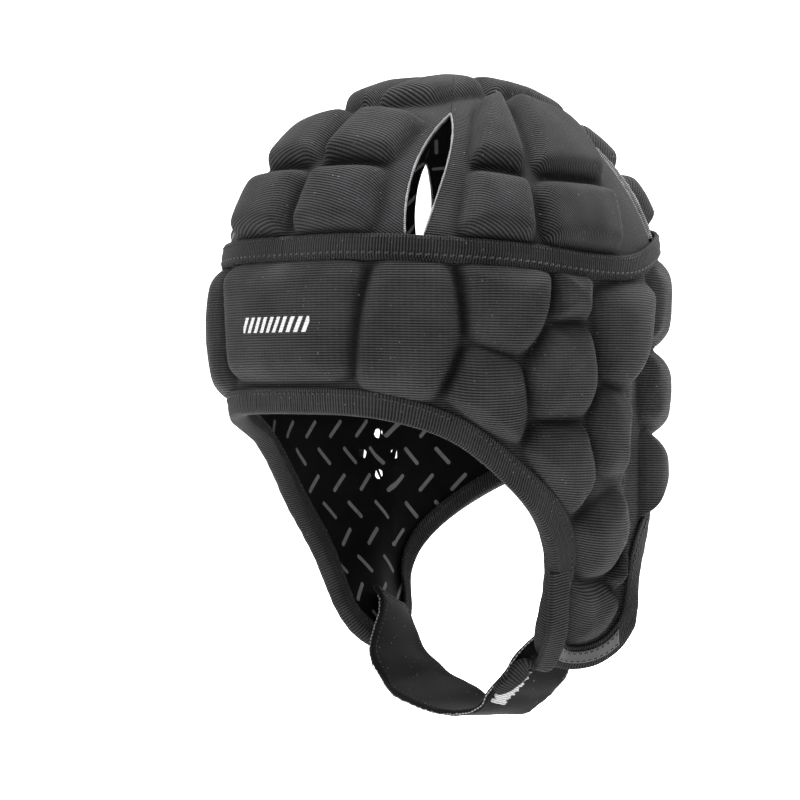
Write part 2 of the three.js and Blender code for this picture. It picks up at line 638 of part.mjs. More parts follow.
// joints is the loop of [u, v] places where the pad's grooves meet, insets how far each side stays back
function padGeometry(surface, joints, insets) {
  const middle = [0, 1].map((k) => joints.reduce((sum, joint) => sum + joint[k], 0) / joints.length);
  let frame = frameOn(surface, ...middle);
  const area = centreOfArea(joints.map((joint) => frame.flat(surface.point(...joint))));
  frame = frameOn(surface, ...frame.find(area.x, area.y));
  const corners = joints.map((joint) => frame.flat(surface.point(...joint)));
  const centre = roomiest(corners, insets);
  const outline = softPolygon(sidesFrom(centre, corners, insets));
  const fine = Array.from({ length: 361 }, (_, i) => outline(radians(i), 0));
  const lengths = fine.reduce((list, p, i) => [...list, i ? list[i - 1] + p.distanceTo(fine[i - 1]) : 0], []);
  const sides = Math.max(8, Math.ceil(lengths[360] / PAD_FACET));
  const angles = Array.from({ length: sides }, (_, k) => {
    const i = lengths.findIndex((length) => length >= (k / sides) * lengths[360]);
    return radians(i);
  });
  const widest = Math.max(...fine.map((p) => p.length()));
  const rings = Math.max(2, Math.ceil(widest / (PAD_FACET * 1.1)));
  const lay = ({ inset, scale, height }) =>
    angles.map((angle) => {
      const flat = outline(angle, inset).multiplyScalar(scale).add(centre);
      return surface.at(...frame.find(flat.x, flat.y), SEAT_GAP + height);
    });
  const levels = [];
  for (let k = 1; k <= rings; k++) levels.push({ inset: 0, scale: k / rings, height: 0 });
  levels.push({ inset: 0.2, scale: 1, height: 0.5 * PAD_HEIGHT });
  levels.push({ inset: PAD_SHOULDER, scale: 1, height: 0.93 * PAD_HEIGHT });
  for (let k = rings - 2; k > 0; k--) levels.push({ inset: PAD_SHOULDER, scale: k / (rings - 1), height: PAD_HEIGHT });
  const [u, v] = frame.find(centre.x, centre.y);
  const points = [surface.at(u, v, SEAT_GAP), ...levels.flatMap(lay), surface.at(u, v, SEAT_GAP + PAD_HEIGHT)];
  const last = points.length - 1;
  const faces = gridFaces(levels.length, sides, true, 1).map(([a, b, c]) => [a, c, b]);
  for (let i = 0; i < sides; i++) {
    const next = (i + 1) % sides;
    faces.push([0, 1 + next, 1 + i], [last, last - sides + i, last - sides + next]);
  }
  return closedGeometry(points, faces);
}
// Turns every face over if the closed mesh came out inside-out.
function closedGeometry(points, faces) {
  const volume = faces.reduce((sum, [a, b, c]) => {
    const cross = points[b].clone().cross(points[c]);
    return sum + points[a].dot(cross);
  }, 0);
  return meshGeometry(points, volume < 0 ? faces.map(([a, b, c]) => [a, c, b]) : faces);
}
function mirrored(geometry) {
  const copy = geometry.clone();
  copy.scale(-1, 1, 1);
  copy.setIndex([...copy.index.array].reverse());
  copy.computeVertexNormals();
  return copy;
}
function crownPlace({ sector: name, across, down }) {
  let azimuth = mix(...sector[name].reach(40), 0.5);
  let angle = 40;
  for (let pass = 0; pass < 30; pass++) {
    angle = down * bandDip(azimuth);
    azimuth = mix(azimuth, mix(...sector[name].reach(angle), (across + 1) / 2), 0.7);
  }
  return polar(azimuth, angle);
}
const BAND_INSET = BAND_WIDTH / 2 + PAD_CLEARANCE;
const EDGE_INSET = BINDING_OUTER_LEG + 3.5 * PAD_CLEARANCE;
function insetsOf(rims) {
  return rims.map((rim, i) => {
    if (rim === 'none' || rim !== rims[(i + 1) % rims.length]) return GROOVE_WIDTH / 2;
    return rim === 'band' ? BAND_INSET : EDGE_INSET;
  });
}
function crownPad(names) {
  const rims = names.map((name) => (CROWN_JOINTS[name].down === 1 ? 'band' : 'none'));
  return padGeometry(crownSurface, names.map((name) => crownPlace(CROWN_JOINTS[name])), insetsOf(rims));
}
function sidePad(places) {
  const rims = places.map(([, share]) => (share === 0 ? 'band' : share === 1 ? 'edge' : 'none'));
  return padGeometry(sideSurface, places, insetsOf(rims));
}
// A pad on the middle line: the joints of its left half, and the same ones mirrored
function middlePad(names, turn) {
  const left = names.map((name) => SIDE_JOINTS[name]);
  const right = left.filter(([s]) => s !== turn / 2).map(([s, share]) => [turn - s, share]);
  right.reverse();
  return sidePad([...left, ...right]);
}

// Places a distance up from the seam band or from the edge, measured along the surface
function upFromBand(s, distance) {
  const azimuth = station.bandAzimuth(s);
  const angle = station.dip(s) - degrees(distance / CROWN_HEIGHT);
  return crownSurface.at.bind(null, ...polar(azimuth, angle));
}
function downFromBand(s, distance) {
  const [, fall] = sideSurface.slopes(s, 0);
  return sideSurface.at.bind(null, s, distance / fall.length());
}
function bandGeometry() {
  const rows = [
    COLUMNS.map(({ s }) => upFromBand(s, BAND_WIDTH / 2)),
    COLUMNS.map(({ s, azimuth, angle }) => {
      const normal = sideSurface.normal(s, 0).add(crownSurface.normal(...polar(azimuth, angle))).normalize();
      return (offset) => bandPoint(s).addScaledVector(normal, offset);
    }),
    COLUMNS.map(({ s }) => downFromBand(s, BAND_WIDTH / 2)),
  ];
  const layer = (at) => ({ outer: at(SEAT_GAP + BAND_THICK), inner: at(SEAT_GAP) });
  return sheetGeometry(rows.flat().map(layer), gridFaces(rows.length, COLUMNS.length, true));
}
// The binding folds round the edge: up is along the wall from its edge, out is across the wall.
const BINDING_INSIDE = -WALL - TRIM_GAP;
const BINDING_SECTION = [
  { up: BINDING_OUTER_LEG, out: TRIM_GAP + BINDING_TAPE },
  { up: 0, out: TRIM_GAP + BINDING_TAPE },
  { up: -TRIM_GAP - BINDING_TAPE, out: TRIM_GAP + BINDING_TAPE * 0.4 },
  { up: -TRIM_GAP - BINDING_TAPE, out: BINDING_INSIDE - BINDING_TAPE * 0.4 },
  { up: 0, out: BINDING_INSIDE - BINDING_TAPE },
  { up: BINDING_INNER_LEG, out: BINDING_INSIDE - BINDING_TAPE },
  { up: BINDING_INNER_LEG, out: BINDING_INSIDE },
  { up: -TRIM_GAP, out: BINDING_INSIDE },
  { up: -TRIM_GAP, out: TRIM_GAP },
  { up: BINDING_OUTER_LEG, out: TRIM_GAP },
];
function bindingGeometry() {
  const rings = COLUMNS.map(({ s }) => {
    const [along, fall] = sideSurface.slopes(s, 1);
    const down = sideSurface.normal(s, 1).cross(along).normalize();
    if (down.dot(fall) < 0) down.negate();
    return BINDING_SECTION.map(({ up, out }) => {
      if (up > 0) return sideSurface.at(s, 1 - up / fall.dot(down), out);
      return sideSurface.at(s, 1, out).addScaledVector(down, -up);
    });
  });
  const points = rings.flat();
  const sides = BINDING_SECTION.length;
  const faces = rings.flatMap((_, j) => {
    const next = (j + 1) % rings.length;
    return BINDING_SECTION.flatMap((__, i) => {
      const k = (i + 1) % sides;
      const [a, b, c, d] = [j * sides + i, j * sides + k, next * sides + k, next * sides + i];
      return [[a, b, c], [a, c, d]];
    });
  });
  return closedGeometry(points, faces);
}

// The strap's rows from the right flap to the left one: its front and rear edges in the middle of its wall
function sewnRow({ front, rear, over }, hand) {
  const depth = over === 'lining' ? WALL : WALL + TRIM_GAP + BINDING_TAPE;
  const middle = [0, 1].map((i) => (front[i] + rear[i]) / 2);
  return [front, middle, rear].map((place) => {
    const point = sideSurface.at(...place, -depth - 1.5 * TRIM_GAP - STRAP_THICK / 2);
    point.x *= hand;
    return point;
  });
}
function freePoint({ x, y, drop }) {
  return new THREE.Vector3(x * HALF_WIDTH, y * FRONT_REACH, GIRTH_Z - drop * EARFLAP_DROP);
}
function freeRow(row) {
  const front = freePoint(row);
  const across = new THREE.Vector3(row.toe, 1, row.rise).normalize().multiplyScalar(STRAP_WIDTH);
  return [0, 0.5, 1].map((share) => front.clone().addScaledVector(across, share));
}
const STRAP_LINE = [
  ...STRAP_SEWN.map((row) => sewnRow(row, -1)),
  ...STRAP_ROWS.map(freeRow),
  ...[...STRAP_SEWN].reverse().map((row) => sewnRow(row, 1)),
];
// A smooth line through points, at a number that counts them
function curveThrough(points) {
  return (k) => {
    const i = Math.min(Math.floor(k), points.length - 2);
    const f = k - i;
    const [p, q] = [points[i], points[i + 1]];
    const before = points[i - 1] ?? p;
    const after = points[i + 2] ?? q;
    const cubic = (a, b, c, d) => b + 0.5 * f * (c - a + f * (2 * a - 5 * b + 4 * c - d + f * (3 * (b - c) + d - a)));
    return new THREE.Vector3(
      cubic(before.x, p.x, q.x, after.x),
      cubic(before.y, p.y, q.y, after.y),
      cubic(before.z, p.z, q.z, after.z),
    );
  };
}
const strapCurves = [0, 1, 2].map((i) => curveThrough(STRAP_LINE.map((row) => row[i])));
const STRAP_END = STRAP_LINE.length - 1;
// The middle of the strap's wall: k counts its rows, across runs from its front edge to its rear edge
function strapMiddle(k, across) {
  const weights = [2 * (across - 0.5) * (across - 1), 4 * across * (1 - across), 2 * across * (across - 0.5)];
  return strapCurves.reduce((sum, curve, i) => sum.addScaledVector(curve(k), weights[i]), new THREE.Vector3());
}
function strapAt(k, across, offset) {
  const d = 0.05;
  const along = strapMiddle(Math.min(k + d, STRAP_END), across).sub(strapMiddle(Math.max(k - d, 0), across));
  const sideways = strapMiddle(k, across + d).sub(strapMiddle(k, across - d));
  return strapMiddle(k, across).addScaledVector(sideways.cross(along).normalize(), offset);
}
// A ribbon between two offsets from the strap's middle, over a span of its rows and of its width
function ribbonGeometry({ from, to, front, rear }, low, high, steps) {
  const places = [];
  for (let j = 0; j <= steps; j++) {
    const k = mix(from, to, j / steps);
    for (const across of [front, mix(front, rear, 0.5), rear]) {
      places.push({ outer: strapAt(k, across, high), inner: strapAt(k, across, low) });
    }
  }
  return sheetGeometry(places, gridFaces(steps + 1, 3));
}
const PATCH_FOOT = STRAP_THICK / 2 + LAYER_GAP;
const TONGUE_LIFT = PATCH_FOOT + PATCH_THICK + LAYER_GAP + TONGUE_THICK / 2;
function tongueGeometry() {
  const [, fall] = sideSurface.slopes(TONGUE_ROOT, 1);
  const clear = 2 * LAYER_GAP + BINDING_TAPE + TONGUE_THICK;
  const root = sideSurface.at(TONGUE_ROOT, 1, -WALL / 2).addScaledVector(fall.normalize(), clear);
  const middles = TONGUE_ROWS.map(({ row, across }) => strapAt(row, across, TONGUE_LIFT));
  const line = curveThrough([...middles, root]);
  const sideways = strapMiddle(TONGUE_ROWS[1].row, 1).sub(strapMiddle(TONGUE_ROWS[1].row, 0)).normalize();
  const end = TONGUE_ROWS.length;
  const steps = 3 * end;
  const places = Array.from({ length: steps + 1 }, (_, j) => {
    const k = (end * j) / steps;
    const along = line(Math.min(k + 0.05, end)).sub(line(Math.max(k - 0.05, 0))).normalize();
    const across = sideways.clone().addScaledVector(along, -along.dot(sideways)).normalize();
    const out = across.clone().cross(along).normalize();
    const round = [0.5, 0.93][j] ?? 1;
    return [-1, 0, 1].map((side) => {
      const point = line(k).addScaledVector(across, (side * round * TONGUE_WIDTH) / 2);
      const half = TONGUE_THICK / 2;
      return { outer: point.clone().addScaledVector(out, half), inner: point.clone().addScaledVector(out, -half) };
    });
  });
  return sheetGeometry(places.flat(), gridFaces(steps + 1, 3));
}

const cap = new THREE.Group();
cap.name = 'rugby_scrum_cap';
function add(name, geometry, material) {
  const mesh = new THREE.Mesh(geometry, MATERIALS[material].clone());
  mesh.name = name;
  cap.add(mesh);
}
add('crown_shell', crownGeometry(0, SHELL_WALL), 'cover');
add('side_shell', withEarHoles(sideGeometry(0, SHELL_WALL)), 'cover');
add('lining', withEarHoles(liningGeometry(SHELL_WALL + LAYER_GAP, WALL)), 'lining');
add('seam_band', bandGeometry(), 'tape');
add('edge_binding', bindingGeometry(), 'tape');

for (const [name, joints] of Object.entries(CROWN_PADS)) {
  const pad = crownPad(joints);
  add(`${name}_left`, pad, 'cover');
  add(`${name}_right`, mirrored(pad), 'cover');
}
for (const [name, joints] of Object.entries(SIDE_PADS)) {
  const pad = sidePad(joints.map((joint) => SIDE_JOINTS[joint]));
  add(`pad_${name}_left`, pad, 'cover');
  add(`pad_${name}_right`, mirrored(pad), 'cover');
}
add('pad_forehead', middlePad(['band_brow', 'edge_brow', 'edge_forehead'], 0), 'cover');
add('pad_nape_lower', middlePad(['neck_upper', 'nape_low', 'edge_nape_mid'], LOOP), 'cover');

const strapSpan = { from: 0, to: STRAP_END, front: 0, rear: 1 };
add('chin_strap', ribbonGeometry(strapSpan, -STRAP_THICK / 2, STRAP_THICK / 2, STRAP_STEPS * STRAP_END), 'strap');
add('hook_patch', ribbonGeometry(PATCH_SPAN, PATCH_FOOT, PATCH_FOOT + PATCH_THICK, 4), 'hook');
add('closure_tongue', tongueGeometry(), 'tape');

export default cap;
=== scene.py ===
"""A padded rugby scrum cap: stretch cloth over foam cells, with bound edges, a seam band and a chin strap.

Sizes are in millimetres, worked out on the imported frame: the origin is the inside of the crown, +Z is up,
-Y is the face opening and +X the wearer's left. Meshes are turned to metres when they are made.
"""
from __future__ import annotations

import logging
import math
from dataclasses import dataclass
from enum import Enum
from functools import cache
from typing import Sequence

import bpy
import numpy as np
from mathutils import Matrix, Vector

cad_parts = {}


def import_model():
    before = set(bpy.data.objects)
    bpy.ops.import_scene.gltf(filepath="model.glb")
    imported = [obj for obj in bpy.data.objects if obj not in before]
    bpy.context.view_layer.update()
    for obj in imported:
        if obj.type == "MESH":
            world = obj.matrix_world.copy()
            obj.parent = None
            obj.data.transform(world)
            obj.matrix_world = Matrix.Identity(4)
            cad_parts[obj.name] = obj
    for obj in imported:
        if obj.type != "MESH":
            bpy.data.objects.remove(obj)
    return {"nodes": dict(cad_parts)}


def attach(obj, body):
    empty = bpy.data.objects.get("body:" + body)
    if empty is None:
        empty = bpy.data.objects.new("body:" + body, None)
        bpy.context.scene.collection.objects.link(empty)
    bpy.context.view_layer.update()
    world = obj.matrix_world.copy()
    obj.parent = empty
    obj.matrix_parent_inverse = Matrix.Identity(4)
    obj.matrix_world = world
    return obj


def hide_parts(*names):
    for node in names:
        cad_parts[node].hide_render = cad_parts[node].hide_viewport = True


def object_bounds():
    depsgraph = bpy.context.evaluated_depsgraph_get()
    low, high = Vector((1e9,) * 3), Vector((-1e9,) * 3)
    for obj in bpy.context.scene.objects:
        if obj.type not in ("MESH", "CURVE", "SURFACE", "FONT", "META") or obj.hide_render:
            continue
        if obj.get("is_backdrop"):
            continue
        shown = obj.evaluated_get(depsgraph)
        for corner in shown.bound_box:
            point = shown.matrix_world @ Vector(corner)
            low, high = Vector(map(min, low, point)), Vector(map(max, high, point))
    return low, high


LOG = logging.getLogger("scrum_cap")
MM = 0.001
Array = np.ndarray
Place = tuple[float, float]


# Sizes of the cap, as the solids have them, but for tapes that lie a little closer

CROWN_HEIGHT = 87.0
FRONT_REACH = 99.5
REAR_REACH = 88.5
HALF_WIDTH = 81.5
EARFLAP_DROP = 158.0
FRONT_FULLNESS = 2.65
REAR_FULLNESS = 2.45
SHELL_WALL = 2.5
LINING_WALL = 1.0
LAYER_GAP = 0.3
SEAT_GAP = 0.7
TRIM_GAP = 0.95  # from a wall to the binding or the strap on it
WALL = SHELL_WALL + LAYER_GAP + LINING_WALL
GIRTH_Z = WALL - CROWN_HEIGHT
BAND_WIDTH = 9.4
BAND_THICK = 2.0
BINDING_TAPE = 1.2
BINDING_OUTER_LEG = 8.5
BINDING_INNER_LEG = 6.0
STRAP_WIDTH = 35.0
STRAP_THICK = 2.6
TONGUE_WIDTH = 11.0
TONGUE_THICK = 3.0
PATCH_THICK = 1.2
VENT_WIDTH = 13.0
EAR_HOLE_RADIUS = 2.3
EAR_HOLE_MIDDLE = (9.03, 0.405)
EAR_HOLE_PLACES = ((0, 9.4), (0, -9.4), (7.6, 0), (-7.6, 0))
DIMPLE_RADIUS = 1.9
DIMPLE_PLACES = ((-2.5, -20), (0.5, -31))
WEAVE_REACH = 85.0  # reach at which the side wall's weave is measured along


@dataclass(frozen=True)
class Station:
    """One line down the side wall of the left half, from the seam band to the edge.

    Attributes:
        band: azimuth at the seam band, in degrees from the front towards the left.
        dip: the band's angle down from the crown, in degrees.
        mid: azimuth, reach share and drop share halfway down.
        edge: azimuth, reach share and drop share at the edge.
    """

    band: float
    dip: float
    mid: tuple[float, float, float]
    edge: tuple[float, float, float]


STATIONS = (
    Station(0, 80, (0, 1.0, 0.11), (0, 0.99, 0.32)),
    Station(20, 80, (20, 1.0, 0.11), (20, 0.985, 0.325)),
    Station(40, 81, (37, 0.985, 0.13), (33, 0.95, 0.35)),
    Station(58, 82, (52, 0.99, 0.17), (46, 0.89, 0.405)),
    Station(72, 83, (66, 0.99, 0.235), (60, 0.9, 0.505)),
    Station(82, 83.8, (77, 1.0, 0.335), (72, 0.93, 0.62)),
    Station(90, 84.2, (87, 0.995, 0.435), (80, 0.86, 0.775)),
    Station(97, 84.4, (96, 0.975, 0.5), (84, 0.73, 0.93)),
    Station(105, 84, (105, 0.955, 0.52), (97, 0.66, 1.0)),
    Station(113, 82.3, (109.5, 0.925, 0.56), (111, 0.775, 1.0)),
    Station(122, 79.5, (112.5, 0.905, 0.6), (118, 0.905, 0.905)),
    Station(133, 76.5, (119, 0.915, 0.5), (121, 0.92, 0.75)),
    Station(148, 74.3, (142, 0.957, 0.285), (143, 0.925, 0.58)),
    Station(165, 73.3, (162, 0.985, 0.17), (162, 0.96, 0.5)),
    Station(180, 73, (180, 1.0, 0.165), (180, 0.975, 0.48)),
)
HALF_LOOP = len(STATIONS) - 1
LOOP = 2 * HALF_LOOP


class LoopCurve:
    """A closed cubic curve through one value per station, the right half repeating the left one."""

    def __init__(self, half: Sequence[float], turn: float = 0.0) -> None:
        """Solves the slopes that make the cubic pieces join smoothly.

        Args:
            half: the values from the forehead to the nape.
            turn: 360 where the right half counts back from a whole turn, otherwise 0.
        """
        left = np.asarray(half, float)
        right = left[1:-1][::-1]
        self.values = np.concatenate([left, turn - right if turn else right])
        self.turn = turn
        ahead = self.at_whole(np.arange(LOOP) + 1)
        behind = self.at_whole(np.arange(LOOP) - 1)
        matrix = 4 * np.eye(LOOP) + np.roll(np.eye(LOOP), 1, 0) + np.roll(np.eye(LOOP), -1, 0)
        self.slopes = np.linalg.solve(matrix, 3 * (ahead - behind))

    def at_whole(self, k: Array) -> Array:
        """The value at whole station numbers, any number of times round."""
        laps = np.floor_divide(k, LOOP)
        return self.values[np.mod(k, LOOP)] + laps * self.turn

    def __call__(self, s: Array) -> Array:
        """The value at any station number, by the Hermite cubic of its piece."""
        s = np.asarray(s, float)
        k = np.floor(s).astype(int)
        f = s - k
        low = self.at_whole(k)
        rise = self.at_whole(k + 1) - low
        first = self.slopes[np.mod(k, LOOP)]
        last = self.slopes[np.mod(k + 1, LOOP)]
        return low + f * (first + f * (3 * rise - 2 * first - last + f * (first + last - 2 * rise)))


class Form(Enum):
    """The two surfaces that the cap is laid out on."""

    CROWN = "crown"
    SIDE = "side"


@dataclass
class HeadForm:
    """The outside of the shell, as two surfaces that meet at the seam band.

    The crown is a dome: a place is degrees from the crown towards the left and the back. The side wall is a
    parabola down each station: a place is a station number and the share of the way from band to edge.
    """

    stations: Sequence[Station]

    def __post_init__(self) -> None:
        """Draws the curves through the stations, and keeps a fine table from azimuth to station number."""
        self.band_azimuth = LoopCurve([s.band for s in self.stations], 360)
        self.dip = LoopCurve([s.dip for s in self.stations])
        turns = (360, 0, 0)
        self.mid = [LoopCurve([s.mid[k] for s in self.stations], turn) for k, turn in enumerate(turns)]
        self.edge = [LoopCurve([s.edge[k] for s in self.stations], turn) for k, turn in enumerate(turns)]
        self.fine_stations = np.linspace(-HALF_LOOP, LOOP + HALF_LOOP, 8001)
        self.fine_azimuths = self.band_azimuth(self.fine_stations)

    def plan_reach(self, azimuth: Array) -> Array:
        """Reach of the plan outline: a superellipse, longer ahead than behind.

        Args:
            azimuth: degrees from the front.

        Returns:
            The distance from the crown's axis.
        """
        c, s = np.cos(np.radians(azimuth)), np.sin(np.radians(azimuth))
        along = np.where(c > 0, FRONT_REACH, REAR_REACH)
        fullness = np.where(c > 0, FRONT_FULLNESS, REAR_FULLNESS)
        return ((np.abs(c) / along) ** fullness + (np.abs(s) / HALF_WIDTH) ** fullness) ** (-1 / fullness)

    def ring(self, azimuth: Array, reach: Array, z: Array) -> Array:
        """Points at an azimuth, a distance from the axis and a height."""
        angle = np.radians(azimuth)
        return np.stack([reach * np.sin(angle), -reach * np.cos(angle), z + 0 * reach], -1)

    def crown(self, a: Array, b: Array) -> Array:
        """Points of the dome: the reach grows with the sine of the angle from the crown.

        Args:
            a: degrees from the crown towards the left.
            b: degrees from the crown towards the back.

        Returns:
            The points.
        """
        angle = np.hypot(a, b)
        azimuth = np.degrees(np.arctan2(a, -b))
        reach = self.plan_reach(azimuth) * np.sin(np.radians(angle))
        return self.ring(azimuth, reach, GIRTH_Z + CROWN_HEIGHT * np.cos(np.radians(angle)))

    def band(self, s: Array) -> Array:
        """Points of the line where the two surfaces meet."""
        return self.crown(*polar(self.band_azimuth(s), self.dip(s)))

    def side(self, s: Array, t: Array) -> Array:
        """Points of the side wall: the parabola through band, middle and edge of each station.

        Args:
            s: station numbers.
            t: shares of the way from band to edge.

        Returns:
            The points.
        """
        parts = [self.band(s)]
        for azimuth, reach, drop in (self.mid, self.edge):
            a = azimuth(s)
            parts.append(self.ring(a, self.plan_reach(a) * reach(s), GIRTH_Z - EARFLAP_DROP * drop(s)))
        t = np.asarray(t, float)[..., None]
        return 2 * (t - 0.5) * (t - 1) * parts[0] + 4 * t * (1 - t) * parts[1] + 2 * t * (t - 0.5) * parts[2]

    def point(self, form: Form, u: Array, v: Array) -> Array:
        """Points of either surface."""
        return self.crown(u, v) if form is Form.CROWN else self.side(u, v)

    def slopes(self, form: Form, u: Array, v: Array) -> tuple[Array, Array]:
        """How the surface moves with each of its two numbers, by central differences.

        Args:
            form: the surface.
            u, v: the two numbers.

        Returns:
            Both slopes.
        """
        d = 0.02 if form is Form.CROWN else 0.002
        du = (self.point(form, u + d, v) - self.point(form, u - d, v)) / (2 * d)
        dv = (self.point(form, u, v + d) - self.point(form, u, v - d)) / (2 * d)
        return du, dv

    def normal(self, form: Form, u: Array, v: Array) -> Array:
        """Outward unit normals of either surface."""
        du, dv = self.slopes(form, u, v)
        cross = np.cross(du, dv) * (1 if form is Form.CROWN else -1)
        return unit(cross)

    def station_at(self, azimuth: Array) -> Array:
        """The station number whose line starts at an azimuth of the band."""
        return np.interp(azimuth, self.fine_azimuths, self.fine_stations)

    def band_dip(self, azimuth: Array) -> Array:
        """The band's angle down from the crown at an azimuth."""
        return self.dip(self.station_at(azimuth))


def unit(v: Array) -> Array:
    """Vectors scaled to length one."""
    return v / np.maximum(np.linalg.norm(v, axis=-1, keepdims=True), 1e-12)


def polar(azimuth: Array, angle: Array) -> tuple[Array, Array]:
    """Degrees towards the left and the back, from an azimuth and an angle from the crown."""
    return angle * np.sin(np.radians(azimuth)), -angle * np.cos(np.radians(azimuth))


def mix(a: Array, b: Array, f: Array) -> Array:
    """The value a share of the way from a to b."""
    return a + (b - a) * f


def smooth(x: Array) -> Array:
    """Rises from 0 to 1 with level ends."""
    x = np.clip(x, 0, 1)
    return x * x * (3 - 2 * x)


HEAD = HeadForm(STATIONS)


@dataclass(frozen=True)
class Vent:
    """A crescent opening on the left half of the crown.

    Attributes:
        band: azimuth of its middle at the band.
        top: azimuth of its upper end.
        start: angle from the crown of its upper end.
        width: at its widest.
    """

    band: float
    top: float
    start: float
    width: float

    def edges(self, angle: Array) -> tuple[Array, Array]:
        """First and last azimuth of the opening at an angle from the crown.

        The middle bends with the power 1.5 of what is left to the band, and the width is a sine lens that
        the band cuts short.

        Args:
            angle: degrees from the crown.

        Returns:
            Both azimuths.
        """
        end = float(HEAD.band_dip(self.band))
        share = np.clip((angle - self.start) / (end - self.start), 0, 1)
        middle = mix(self.band, self.top, (1 - share) ** 1.5)
        opening = self.width / 2 * np.maximum(0, np.sin(np.pi * 0.86 * share**0.88))
        reach = HEAD.plan_reach(middle) * np.maximum(np.sin(np.radians(angle)), 0.1)
        half = np.degrees(opening / reach)
        return middle - half, middle + half


FRONT_VENT = Vent(34.4, 42.4, 34, VENT_WIDTH)
REAR_VENT = Vent(126, 123, 42, 0.75 * VENT_WIDTH)


@dataclass(frozen=True)
class Sector:
    """A part of the crown between two vents.

    Attributes:
        name: which sector.
        columns: how many cells wide it is.
        weave_turn: how far the cloth's ribs are turned from level there, in degrees.
    """

    name: str
    columns: int
    weave_turn: float

    def reach(self, angle: Array) -> tuple[Array, Array]:
        """First and last azimuth at an angle from the crown."""
        front, rear = FRONT_VENT.edges(angle), REAR_VENT.edges(angle)
        return {
            "front": (-front[0], front[0]),
            "left": (front[1], rear[0]),
            "rear": (rear[1], 360 - rear[1]),
            "right": (360 - rear[0], 360 - front[1]),
        }[self.name]


SECTORS = (Sector("front", 92, 0), Sector("left", 172, 34), Sector("rear", 112, 0), Sector("right", 172, -34))
SECTOR = {sector.name: sector for sector in SECTORS}


# Where grooves meet on the crown: sector, across from -1 to 1, and down as a share of the angle to the band
CROWN_JOINTS: dict[str, tuple[str, float, float]] = {
    "apex": ("front", 0, 0.02),
    "front_top": ("front", 0, 0.4),
    "front_top_side": ("front", 0.93, 0.485),
    "front_mid": ("front", 0, 0.695),
    "front_mid_side": ("front", 0.84, 0.71),
    "front_band": ("front", 0, 1),
    "front_band_side": ("front", 0.785, 1),
    "top_front": ("front", 0.825, 0.378),
    "top_side": ("left", -0.02, 0.24),
    "side_top_front": ("left", -0.76, 0.345),
    "side_top_rear": ("left", 0.93, 0.42),
    "side_mid_front": ("left", -0.89, 0.705),
    "side_mid": ("left", -0.33, 0.72),
    "side_mid_rear": ("left", 0.67, 0.72),
    "side_band_front": ("left", -0.85, 1),
    "side_band": ("left", -0.29, 1),
    "side_band_rear": ("left", 0.5, 1),
    "rear_top": ("rear", 0, 0.43),
    "rear_top_side": ("rear", -0.7, 0.475),
    "rear_mid": ("rear", 0, 0.7),
    "rear_mid_side": ("rear", -0.76, 0.72),
    "rear_band": ("rear", 0, 1),
    "rear_band_side": ("rear", -0.79, 1),
}
CROWN_PADS: dict[str, tuple[str, ...]] = {
    "crown_top_front": ("apex", "front_top", "top_front", "top_side"),
    "crown_top_rear": ("apex", "top_side", "rear_top_side", "rear_top"),
    "crown_front_upper": ("front_top", "front_mid", "front_mid_side", "front_top_side"),
    "crown_front_lower": ("front_mid", "front_band", "front_band_side", "front_mid_side"),
    "crown_side_upper_front": ("side_top_front", "side_mid_front", "side_mid", "top_side"),
    "crown_side_upper_rear": ("top_side", "side_mid", "side_mid_rear", "side_top_rear"),
    "crown_side_lower_front": ("side_mid_front", "side_band_front", "side_band", "side_mid"),
    "crown_side_lower_rear": ("side_mid", "side_band", "side_band_rear", "side_mid_rear"),
    "crown_rear_upper": ("rear_top", "rear_top_side", "rear_mid_side", "rear_mid"),
    "crown_rear_lower": ("rear_mid", "rear_mid_side", "rear_band_side", "rear_band"),
}

# Where grooves meet on the side wall: station number, and the share of the way from band to edge
SIDE_JOINTS: dict[str, Place] = {
    "band_brow": (1.28, 0),
    "band_temple": (2.2, 0),
    "band_cheek": (4.0, 0),
    "band_ear": (5.7, 0),
    "band_ear_mid": (7.8, 0),
    "band_ear_rear": (9.8, 0),
    "band_neck": (12.2, 0),
    "band_nape": (14, 0),
    "brow": (1.02, 0.5),
    "temple": (2.62, 0.49),
    "cheek": (3.67, 0.47),
    "cheek_upper": (4.14, 0.25),
    "ear_upper": (5.61, 0.15),
    "ear_front": (6.15, 0.29),
    "ear_top": (7.78, 0.283),
    "ear_rear": (10.02, 0.15),
    "neck_upper": (12.38, 0.41),
    "nape_upper": (14, 0.5),
    "cheek_lower": (4.13, 0.685),
    "ear_lower": (5.68, 0.43),
    "jaw_upper": (6.5, 0.53),
    "jaw_mid": (7.89, 0.488),
    "jaw_low": (5.95, 0.72),
    "flap_rear": (10.75, 0.635),
    "flap_mid": (8.5, 0.74),
    "neck_mid": (11.13, 0.388),
    "neck_low": (11.24, 0.78),
    "nape_low": (12.33, 0.77),
    "edge_forehead": (0, 1),
    "edge_brow": (1.02, 1),
    "edge_temple": (2.3, 1),
    "edge_cheek_top": (3.1, 1),
    "edge_cheek": (3.9, 1),
    "edge_cheek_low": (4.5, 1),
    "edge_jaw": (5.1, 1),
    "edge_jaw_low": (5.5, 1),
    "edge_flap_front": (5.95, 1),
    "edge_flap_low": (6.7, 1),
    "edge_flap_corner": (7.7, 1),
    "edge_flap_end": (8.6, 1),
    "edge_flap_rear": (9.4, 1),
    "edge_flap_back": (10.2, 1),
    "edge_flap_back_mid": (10.5, 1),
    "edge_neck_low": (10.8, 1),
    "edge_neck": (11.3, 1),
    "edge_neck_mid": (11.75, 1),
    "edge_nape": (12.3, 1),
    "edge_nape_mid": (13.6, 1),
}
